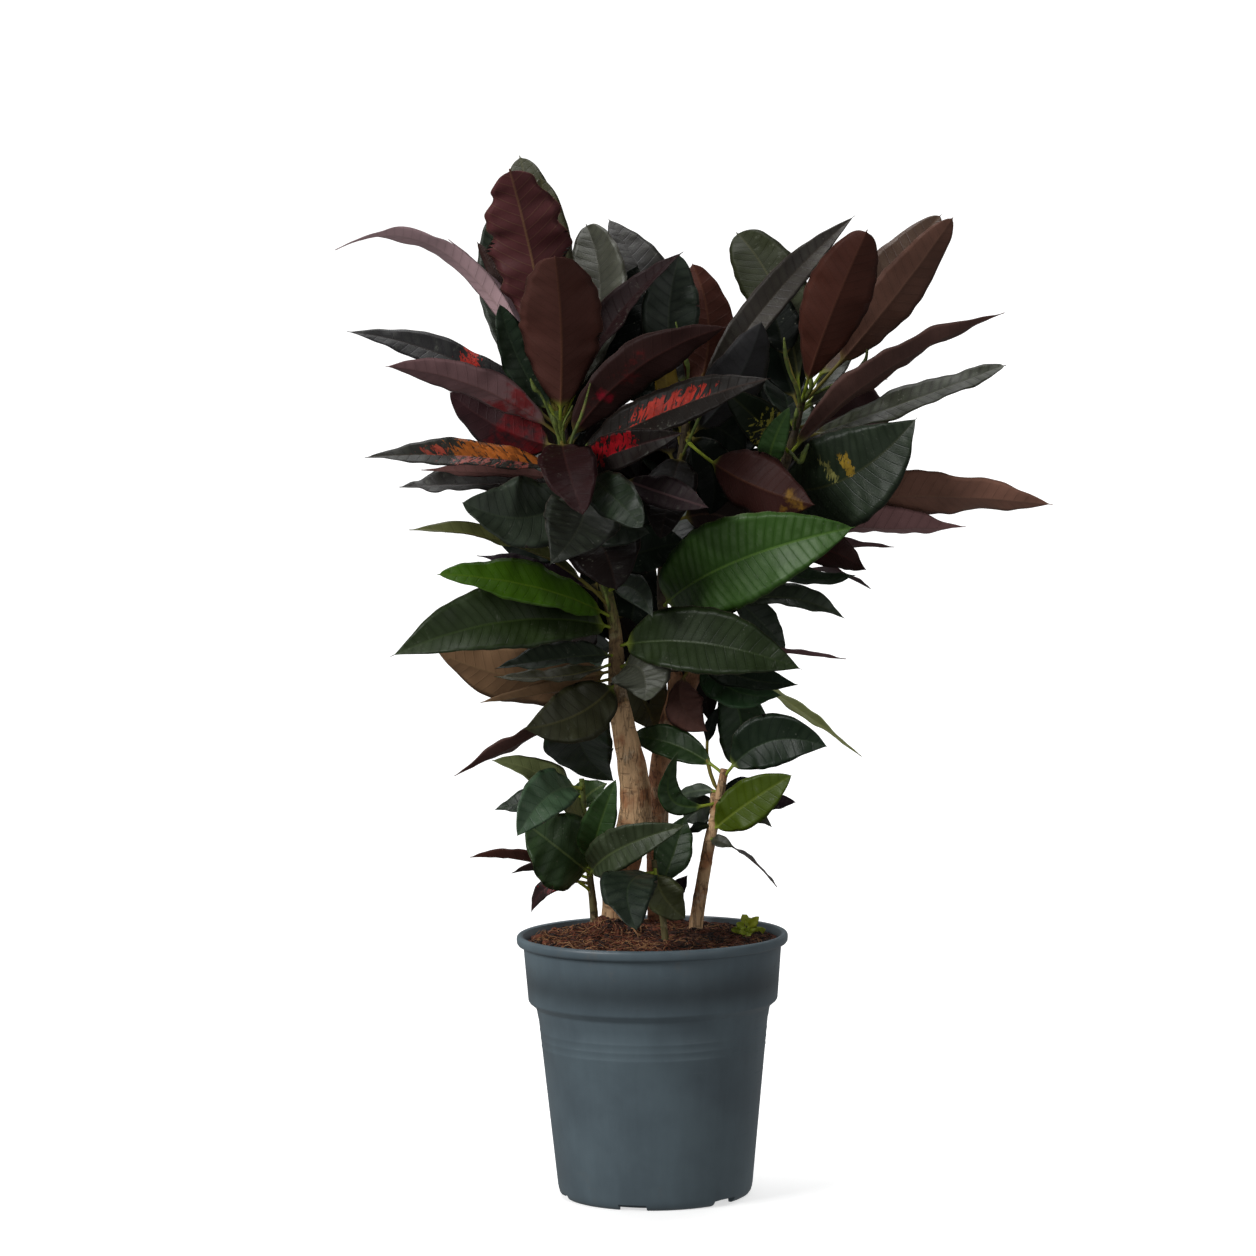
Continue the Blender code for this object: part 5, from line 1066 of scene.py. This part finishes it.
def barkMaterial(name, tan, brown, greenFrom=10.0):
    # bark with rusty and pale patches, upright cracks, ring scars and leaf scars, green above a height
    shader = Shader(name, roughness=0.8)
    places = shader.places()
    _, _, height = shader.split(places)
    scar = shader.split(shader.painted("scar", "Vector"))[0]
    tall = shader.stretched(places, (1.0, 1.0, 0.16))
    flat = shader.stretched(places, (0.22, 0.22, 1.0))
    patch = shader.noise(places, 55.0, 5.0, 0.6)
    moved = shader.node("Mapping", values={"Vector": places, "Location": (3.0, 1.0, 2.0)})
    rust = shader.noise(moved, 42.0, 4.0)
    streak = shader.noise(tall, 300.0, 4.0)
    crack = (shader.noise(tall, 210.0, 3.0) - 0.5).maths("ABSOLUTE")
    crack = (1.0 - crack.between(0.004, 0.030)) * patch.between(0.38, 0.52)
    ring = shader.noise(flat, 250.0, 2.0).between(0.60, 0.68)
    grain = shader.noise(places, 900.0, 3.0)
    colour = shader.mix(srgb(*tan), srgb(*brown), rust.between(0.44, 0.60))
    pale = patch.between(0.56, 0.66) * 0.6 * (1.0 - height.between(0.42, 0.47))
    colour = shader.mix(colour, srgb(214, 190, 158), pale)
    colour = shader.scaled(colour, streak * 0.8 + grain * 0.35 + 0.42)
    colour = shader.mix(colour, srgb(86, 84, 52), shader.noise(places, 30.0, 3.0).between(0.60, 0.72) * 0.35)
    colour = shader.mix(colour, srgb(66, 48, 34), crack * 0.45)
    colour = shader.mix(colour, srgb(96, 68, 48), ring * 0.40)
    green = shader.mix(srgb(70, 84, 34), srgb(112, 126, 48), patch.between(0.35, 0.7))
    green = shader.mix(green, srgb(120, 100, 62), shader.noise(places, 120.0).between(0.56, 0.70) * 0.7)
    colour = shader.mix(colour, green, (height + (patch - 0.5) * 0.10).between(greenFrom, greenFrom + 0.05))
    colour = shader.mix(colour, shader.scaled(colour, 0.45), scar.between(0.25, 0.8) * 0.7)
    shader.feed("Base Color", colour)
    shader.feed("Roughness", 0.62 + patch * 0.3)
    shader.bump(streak * 0.7 + grain * 0.3 + patch * 0.4 - crack * 0.9 - ring * 0.4, 0.0009, 1.0)
    return shader.material


def stemPiece(name, stems, material, slot, node, around, lumps=1.0):
    shape = bmesh.new()
    layer = shape.verts.layers.float_color.new("scar")
    for seed, points in stems:
        addStem(shape, layer, points, seed, lumps, around)
    setPiece(finishPiece(name, shape, [material]), slot, node)


# Pot

potMake = {
    "steps": 160, "rim": 0.105, "height": 0.2035, "wall": 0.002, "floor": 0.002, "grooveHeight": 0.005,
    "stepRadius": 0.060, "notches": 6, "notchWidth": 0.022, "notchHeight": 0.0047, "notchAzimuth": -104,
    "ringRise": 0.00020, "rings": (0.1170, 0.1232, 0.1296),
    "foot": (0.0757, 0.009), "neck": (0.0888, 0.138),
}


def sideRadius(z):
    # the outer wall's radius below the collar, between the foot and the neck (radius, height)
    (low, start), (high, end) = potMake["foot"], potMake["neck"]
    return low + (high - low) * (z - start) / (end - start)


def potProfile():
    # half section: up the inner wall, over the lip, down the outside with its faint rings, and the base
    wall, top, floor, groove = potMake["wall"], potMake["height"], potMake["floor"], potMake["grooveHeight"]
    stepRadius = potMake["stepRadius"]
    inner = [(0.0, floor), (stepRadius - wall, floor), (stepRadius - wall + 0.0006, groove + floor),
             (0.0733, groove + floor), (0.0757 - wall, 0.0100), (0.0888 - wall, 0.1385),
             (0.0906 - wall, 0.1480), (0.0964 - wall, 0.1540), (0.0990 - wall, top - 0.0100),
             (0.1004, top - 0.0008)]
    middle, radius = 0.1025, 0.0025
    lip = [(middle + radius * math.sin(t), top - radius + radius * math.cos(t))
           for t in (math.radians(v) for v in (-35, -10, 15, 40, 65, 90))]
    lip += [(0.1050, top - 0.0040), (0.1048, top - 0.0062), (0.1038, top - 0.0076), (0.1020, top - 0.0083),
            (0.0999, top - 0.0087)]
    shoulder = [(0.0966, 0.1532), (0.0963, 0.1522), (0.0956, 0.1512), (0.0915, 0.1478), (0.0908, 0.1468),
                (0.0904, 0.1455), (0.0892, 0.1390), (0.0888, 0.1378)]
    rings = []
    for z in reversed(potMake["rings"]):
        rings += [(sideRadius(z + 0.0014), z + 0.0014), (sideRadius(z) + potMake["ringRise"], z + 0.0005),
                  (sideRadius(z) + potMake["ringRise"], z - 0.0005), (sideRadius(z - 0.0014), z - 0.0014)]
    foot = [(sideRadius(0.09), 0.09), (sideRadius(0.05), 0.05), (0.0757, 0.0090), (0.0752, 0.0060),
            (0.0743, 0.0032), (0.0728, 0.0012), (0.0705, 0.0)]
    base = [(0.0680, 0.0), (0.0675, groove), (stepRadius + 0.0006, groove), (stepRadius, 0.0), (0.0, 0.0)]
    return inner + lip + shoulder + rings + foot + base


def spunSolid(name, profile, steps, materials):
    # a closed profile spun round Z
    shape = bmesh.new()
    verts = [shape.verts.new((r, 0, z)) for r, z in profile]
    edges = [shape.edges.new(pair) for pair in zip(verts, verts[1:])]
    bmesh.ops.spin(shape, geom=verts + edges, cent=(0, 0, 0), axis=(0, 0, 1), angle=2 * math.pi,
                   steps=steps, use_merge=True)
    return finishPiece(name, shape, materials, 0.00002)


def makePot(material):
    pot = spunSolid("potShell", potProfile(), potMake["steps"], [material])
    cutters = bpy.data.collections.new("notches")
    for k in range(potMake["notches"]):
        angle = math.radians(potMake["notchAzimuth"]) + 2 * math.pi * k / potMake["notches"]
        box = bmesh.new()
        place = (Matrix.Rotation(angle, 4, "Z") @ Matrix.Translation((0.076, 0, 0))
                 @ Matrix.Diagonal((0.024, potMake["notchWidth"], 2 * potMake["notchHeight"], 1)))
        bmesh.ops.create_cube(box, size=1, matrix=place)
        mesh = bpy.data.meshes.new("notch")
        box.to_mesh(mesh)
        box.free()
        cutters.objects.link(bpy.data.objects.new("notch", mesh))
    hole = pot.modifiers.new("notches", "BOOLEAN")
    hole.operation = "DIFFERENCE"
    hole.operand_type = "COLLECTION"
    hole.collection = cutters
    bpy.context.view_layer.update()
    cut = pot.evaluated_get(bpy.context.evaluated_depsgraph_get())
    pot.data = bpy.data.meshes.new_from_object(cut)
    pot.modifiers.clear()
    for tool in list(cutters.objects):
        bpy.data.objects.remove(tool)
    bpy.data.collections.remove(cutters)
    pot.data.shade_smooth()
    pot.data.set_sharp_from_angle(angle=math.radians(38))
    setPiece(pot, "pot_plastic", "pot")


def potMaterial():
    # slate blue moulded plastic: fine grain, faint flow lines, scuffs, dust and painted shade inside the
    # wall
    shader = Shader("slatePlastic", roughness=0.42)
    places = shader.places()
    x, y, height = shader.split(places)
    grain = shader.noise(places, 1500.0, 2.0)
    cloud = shader.noise(places, 16.0, 4.0)
    flow = shader.noise(shader.stretched(places, (1.0, 1.0, 0.12)), 120.0, 3.0)
    scratch = shader.noise(shader.stretched(places, (1.0, 1.0, 9.0)), 40.0, 5.0)
    colour = shader.mix(srgb(84, 98, 106), srgb(96, 112, 120), cloud.between(0.3, 0.7))
    colour = shader.scaled(colour, flow * 0.22 + 0.89)
    colour = shader.mix(colour, srgb(112, 124, 130), scratch.between(0.66, 0.78) * 0.30)
    dusty = shader.noise(places, 60.0, 5.0, 0.7).between(0.55, 0.75)
    colour = shader.mix(colour, srgb(122, 108, 92), dusty * height.between(0.150, 0.2035) * 0.22)
    colour = shader.mix(colour, srgb(118, 112, 100), dusty * (1.0 - height.between(0.004, 0.05)) * 0.25)
    # painted shade: half as bright where the radius is under 97.5 mm above 150 to 170 mm, on the inside of
    # the wall above the coir and at the foot of the collar
    innerWallShade = (1.0 - (x * x + y * y).maths("SQRT").between(0.0975, 0.0995)) * height.between(0.150, 0.170)
    colour = shader.mix(colour, shader.scaled(colour, 0.5), innerWallShade)
    shader.feed("Base Color", colour)
    shader.feed("Roughness", 0.36 + cloud * 0.12 + scratch.between(0.6, 0.8) * 0.2 + dusty * 0.1)
    shader.bump(grain * 0.5 + flow * 0.5 + scratch.between(0.62, 0.8) * 0.4, 0.00012, 0.6)
    return shader.material


# Coir filling

soilMake = {
    "level": 0.1993, "bottom": 0.178, "radius": 0.0962, "rings": 74, "steps": 220,
    "fibres": 2300, "chips": 760, "fibreReach": 0.094, "chipReach": 0.093, "wallReach": 0.0955,
    "heaps": ((-0.032, 0.022, 0.0150, 0.026), (0.010, 0.050, 0.0060, 0.030), (0.034, 0.004, 0.0050, 0.020),
              (-0.050, -0.040, 0.0030, 0.028), (0.020, -0.055, 0.0025, 0.022)),
}


def soilHeight(x, y):
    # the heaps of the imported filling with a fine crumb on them
    heaps = sum(h * np.exp(-((x - cx) ** 2 + (y - cy) ** 2) / (r * r)) for cx, cy, h, r in soilMake["heaps"])
    heaps = heaps * np.where(np.hypot(x, y) < 0.09, 1.0, 0.6)
    crumb = np.zeros_like(x)
    draw = np.random.default_rng(11)
    for scale, size in ((180, 0.0009), (420, 0.0006), (900, 0.00035), (1700, 0.0002)):
        for _ in range(3):
            turn = draw.uniform(0, 6.28)
            across = x * math.cos(turn) + y * math.sin(turn)
            other = -x * math.sin(turn) + y * math.cos(turn)
            crumb += size * np.sin(scale * across + draw.uniform(0, 6)) * np.sin(
                scale * 0.8 * other + draw.uniform(0, 6) + 1.5 * np.sin(scale * 0.31 * across))
    return soilMake["level"] + heaps + crumb - 0.0008


def makeSoil(material):
    radius, rings = soilMake["radius"], soilMake["rings"]
    top = [(radius * k / rings, soilMake["level"]) for k in range(rings + 1)]
    profile = top + [(soilMake["wallReach"], 0.188), (0.0945, soilMake["bottom"]), (0.0, soilMake["bottom"])]
    soil = spunSolid("coirFill", profile, soilMake["steps"], [material])
    mesh = soil.data
    places = np.empty(len(mesh.vertices) * 3)
    mesh.vertices.foreach_get("co", places)
    places = places.reshape(-1, 3)
    top = places[:, 2] > soilMake["level"] - 0.0005
    places[top, 2] = soilHeight(places[top, 0], places[top, 1])
    mesh.vertices.foreach_set("co", places.ravel())
    mesh.update()
    setPiece(soil, "coir", "soil")


def clearOfStems(x, y, stems):
    return all((x - sx) ** 2 + (y - sy) ** 2 > (sr + 0.001) ** 2 for sx, sy, sr in stems)


def scattered(draw, reach):
    # an even random place on a disc
    radius = reach * math.sqrt(draw.uniform(0.0, 1.0))
    angle = draw.uniform(0, 2 * math.pi)
    return radius * math.cos(angle), radius * math.sin(angle)


def makeFibres(material, stems):
    # loose coir fibres that lie on the filling, and chips of bark and peat among them
    shape = bmesh.new()
    tone = shape.verts.layers.float_color.new("tone")
    draw = np.random.default_rng(23)
    red, brown, dark, straw = (116, 64, 42), (84, 52, 38), (44, 30, 26), (162, 118, 80)
    for _ in range(soilMake["fibres"]):
        start = scattered(draw, soilMake["fibreReach"])
        length = draw.uniform(0.008, 0.030)
        heading = draw.uniform(0, 2 * math.pi)
        bend = draw.uniform(-60, 60)
        x, y = [start[0]], [start[1]]
        for _ in range(5):
            x.append(x[-1] + length / 5 * math.cos(heading))
            y.append(y[-1] + length / 5 * math.sin(heading))
            heading += bend * length / 5 + draw.uniform(-0.35, 0.35)
        x, y = np.array(x), np.array(y)
        past = np.hypot(x, y).max() > soilMake["wallReach"]
        if past or not all(clearOfStems(*p, stems) for p in zip(x, y)):
            continue
        thin = draw.uniform(0.00018, 0.00045)
        rise = thin + np.abs(np.sin(np.linspace(0, math.pi, 6))) * draw.uniform(0, 0.0022)
        line = np.stack([x, y, soilHeight(x, y) + rise], 1)
        places = tubePlaces(line, thin * np.array([0.7, 1, 1, 1, 0.9, 0.5]), 3)
        mixed = (red, brown, red, straw, dark, straw if x[0] < 0 else dark)[draw.integers(0, 6)]
        colour = np.broadcast_to(np.array(srgb(*mixed)), (*places.shape[:2], 4))
        closedSkin(shape, places, ((tone, colour),))
    for _ in range(soilMake["chips"]):
        x, y = scattered(draw, soilMake["chipReach"])
        size = draw.uniform(0.0009, 0.0026) * (1.5 if draw.uniform() < 0.08 else 1)
        if not clearOfStems(x, y, stems):
            continue
        z = float(soilHeight(np.array(x), np.array(y)))
        turn = Matrix.Rotation(draw.uniform(0, 6.3), 4, "Z")
        turn = turn @ Matrix.Rotation(draw.uniform(-0.5, 0.5), 4, "X")
        scale = Matrix.Diagonal((size * draw.uniform(0.8, 2.0), size, size * draw.uniform(0.3, 0.7), 1))
        place = Matrix.Translation((x, y, z + size * 0.2)) @ turn @ scale
        made = bmesh.ops.create_icosphere(shape, subdivisions=1, radius=1, matrix=place)["verts"]
        mixed = srgb(*(dark, brown, red, dark)[draw.integers(0, 4)])
        for vertex in made:
            vertex.co += Vector(draw.uniform(-0.25, 0.25, 3)) * size
            vertex[tone] = mixed
    fibres = finishPiece("coirFibres", shape, [material], 0.0000005)
    setPiece(fibres, "coir")


def coirMaterial(name, painted):
    # red-brown coir, darker on the right, with straw and black flecks
    shader = Shader(name, roughness=0.95)
    places = shader.places()
    x, _, _ = shader.split(places)
    crumb = shader.noise(places, 420.0, 5.0, 0.65)
    patch = shader.noise(places, 45.0, 4.0)
    if painted:
        colour = shader.painted("tone")
    else:
        colour = shader.mix(srgb(64, 38, 30), srgb(124, 70, 50), crumb.between(0.35, 0.65))
        colour = shader.mix(colour, srgb(158, 106, 70), crumb.between(0.62, 0.72) * 0.85)
    colour = shader.scaled(colour, patch * 0.8 + 0.62)
    colour = shader.mix(colour, shader.scaled(colour, 0.5), x.between(-0.01, 0.06) * 0.85)
    shader.feed("Base Color", colour)
    shader.feed("Roughness", 0.82 + crumb * 0.16)
    shader.bump(crumb, 0.0010, 1.0)
    return shader.material


# Studio

studio = {
    "paper": (214, 214, 214), "glow": 0.62, "sweepFront": -4.2, "sweepBack": 2.6, "sweepHalf": 3.4,
    "sweepHeight": 3.6, "sweepBend": 1.1,
    "key": {"at": (-2.7, -1.9, 2.1), "size": (1.5, 1.5), "watts": 88},
    "fill": {"at": (2.4, -2.8, 0.9), "size": (1.6, 1.6), "watts": 12},
    "top": {"at": (-0.3, 0.6, 2.8), "size": (1.8, 1.6), "watts": 40},
    "rear": {"at": (1.3, 2.3, 1.5), "size": (1.8, 1.6), "watts": 34},
    "world": 0.20,
}


def makeStudio():
    # a pale paper sweep, four soft lights and a dim room
    shape = bmesh.new()
    bend = studio["sweepBend"]
    profile = [(studio["sweepFront"], 0.0), (studio["sweepBack"] - bend, 0.0)]
    profile += [(studio["sweepBack"] - bend + bend * math.sin(t), bend - bend * math.cos(t))
                for t in np.linspace(0, math.pi / 2, 24)[1:]]
    profile.append((studio["sweepBack"], studio["sweepHeight"]))
    verts = [shape.verts.new((-studio["sweepHalf"], y, z)) for y, z in profile]
    edges = [shape.edges.new(pair) for pair in zip(verts, verts[1:])]
    wide = bmesh.ops.extrude_edge_only(shape, edges=edges)["geom"]
    moved = [part for part in wide if isinstance(part, bmesh.types.BMVert)]
    bmesh.ops.translate(shape, verts=moved, vec=(2 * studio["sweepHalf"], 0, 0))
    paper = Shader("paper", roughness=0.9)
    mottle = paper.noise(paper.places(), 9.0)
    paper.feed("Base Color", paper.mix(srgb(*studio["paper"]), srgb(220, 220, 219), mottle))
    paper.surface.inputs["Emission Color"].default_value = (1, 1, 1, 1)
    paper.surface.inputs["Emission Strength"].default_value = studio["glow"]
    sweep = finishPiece("paperSweep", shape, [paper.material])
    sweep.visible_diffuse = False  # the paper's glow doesn't light the plant
    sweep.visible_glossy = False
    for name in ("key", "fill", "top", "rear"):
        facts = studio[name]
        light = bpy.data.lights.new(name, "AREA")
        light.shape = "RECTANGLE"
        light.size, light.size_y = facts["size"]
        light.energy = facts["watts"]
        lamp = bpy.data.objects.new(name, light)
        bpy.context.scene.collection.objects.link(lamp)
        lamp.visible_glossy = name != "rear"
        lamp.location = facts["at"]
        aim = Vector((0, 0, 0.45)) - Vector(facts["at"])
        lamp.rotation_euler = aim.to_track_quat("-Z", "Y").to_euler()
    world = bpy.data.worlds.new("room")
    world.use_nodes = True
    world.node_tree.nodes["Background"].inputs["Color"].default_value = (1, 1, 1, 1)
    world.node_tree.nodes["Background"].inputs["Strength"].default_value = studio["world"]
    bpy.context.scene.world = world
    bpy.context.scene.view_settings.view_transform = "Standard"


def makeCamera():
    pitch, yaw, roll = (math.radians(eye[key]) for key in ("pitch", "yaw", "roll"))
    ahead = Vector((math.sin(yaw) * math.cos(pitch), math.cos(yaw) * math.cos(pitch), -math.sin(pitch)))
    right = Vector((math.cos(yaw), -math.sin(yaw), 0))
    above = right.cross(ahead)
    tilted = right * math.cos(roll) + above * math.sin(roll)
    above = above * math.cos(roll) - right * math.sin(roll)
    data = bpy.data.cameras.new("camera")
    data.lens = eye["lens"]
    data.sensor_width = 36
    camera = bpy.data.objects.new("camera", data)
    bpy.context.scene.collection.objects.link(camera)
    turn = Matrix((tilted, above, -ahead)).transposed().to_4x4()
    camera.matrix_world = Matrix.Translation((0, -eye["distance"], eye["height"])) @ turn
    bpy.context.scene.camera = camera


makeStudio()
makeCamera()
print("studio and camera")

leafFaces = [leafMaterial("leafUpper", True, 0.30), leafMaterial("leafUnder", False, 0.18),
             leafMaterial("leafInner", True, 0.09)]
bark = barkMaterial("tanBark", (204, 166, 124), (164, 112, 74))
# the middle trunk's bark is made lighter to offset the shade the left trunk casts on it: partly painted
# light
greyBark = barkMaterial("greyBark", (192, 144, 108), (144, 96, 68))
shootBark = barkMaterial("shootBark", (160, 132, 90), (118, 92, 62), 0.43)
youngBark = barkMaterial("youngBark", (98, 90, 52), (80, 76, 46), 0.27)
shadedBark = barkMaterial("shadedBark", (84, 72, 48), (62, 50, 38))
freshStalk = barkMaterial("freshStalk", (98, 90, 52), (80, 76, 46), -0.1)
coir = coirMaterial("coir", False)
coirThread = coirMaterial("coirThread", True)
plastic = potMaterial()
print("materials")

makePot(plastic)
makeSoil(coir)
feet = [(*stemRows(points)[2][:2], points[0][3] / 1000)
        for points in (trunkLeft, trunkMiddle, sideTrunk, shootBasalLeft, shootBasalFront, shootSeedlings)]
makeFibres(coirThread, feet)
print("pot and coir")

shoots = {
    "left_foliage": (shootLeft, leftLeaves),
    "middle_foliage": (shootMiddle, middleLeaves),
    "right_foliage": (shootRight, rightLeaves),
    "basal_left": (shootBasalLeft, basalLeftLeaves),
    "basal_front": (shootBasalFront, basalFrontLeaves),
    "side_stem": (sideTrunk, sideLeaves),
    "seedlings": (shootSeedlings, seedlingLeaves),
}
settled = settleLeaves(shoots, (trunkLeft, trunkMiddle, trunkMiddleFork))
for name, rows in innerLeaves.items():
    settled[name] += [(row, 200 + len(settled[name]) + k, 0.0) for k, row in enumerate(rows)]
print("leaves settled")

for name, stems, material, slot, node, around in (
    ("trunkLeft", ((1, trunkLeft),), bark, "bark", "trunk_left", 44),
    ("trunkMiddle", ((2, trunkMiddle), (3, trunkMiddleFork)), greyBark, "bark", "trunk_middle", 36),
    ("leftShoot", ((4, trunkLeft[-1:] + shootLeft),), shootBark, "bark", "left_foliage", 28),
    ("middleShoot", ((5, trunkMiddle[-1:] + shootMiddle),), shadedBark, "bark", "middle_foliage", 28),
    ("rightShoot", ((6, trunkMiddleFork[-1:] + shootRight),), shadedBark, "bark", "right_foliage", 28),
    ("sideTrunk", ((7, sideTrunk), (8, sideTrunkFork)), bark, "bark", "side_stem", 24),
    ("basalLeftStem", ((9, shootBasalLeft),), youngBark, "bark", "basal_left", 18),
    ("basalFrontStem", ((10, shootBasalFront),), youngBark, "bark", "basal_front", 18),
    ("seedlingStem", ((11, shootSeedlings),), youngBark, "sprout", "seedlings", 12),
):
    stemPiece(name, stems, material, slot, node, around)
for name, prefix in (("left_foliage", "left"), ("middle_foliage", "middle"), ("right_foliage", "right")):
    rows = [(20 + k, points) for k, (node, points) in enumerate(stalks) if node == name]
    stemPiece(prefix + "Stalks", rows, freshStalk, "croton_leaf", name, 12, lumps=0.3)
print("stems")

crownFrom = 53  # cm: the left leaves with roots from here up are the crown
left = settled["left_foliage"]
for name, node, leaves in (
    ("leftCrown", "left_foliage", [entry for entry in left if entry[0][0] >= crownFrom]),
    ("leftLower", "left_foliage", [entry for entry in left if entry[0][0] < crownFrom]),
    ("middleLeaves", "middle_foliage", settled["middle_foliage"]),
    ("rightLeaves", "right_foliage", settled["right_foliage"]),
    ("basalLeftLeaves", "basal_left", settled["basal_left"]),
    ("basalFrontLeaves", "basal_front", settled["basal_front"]),
    ("sideLeaves", "side_stem", settled["side_stem"]),
    ("seedlingLeaves", "seedlings", settled["seedlings"]),
):
    leafPiece(name, leaves, shoots[node][0], node, "sprout" if node == "seedlings" else "croton_leaf")
print("leaves")
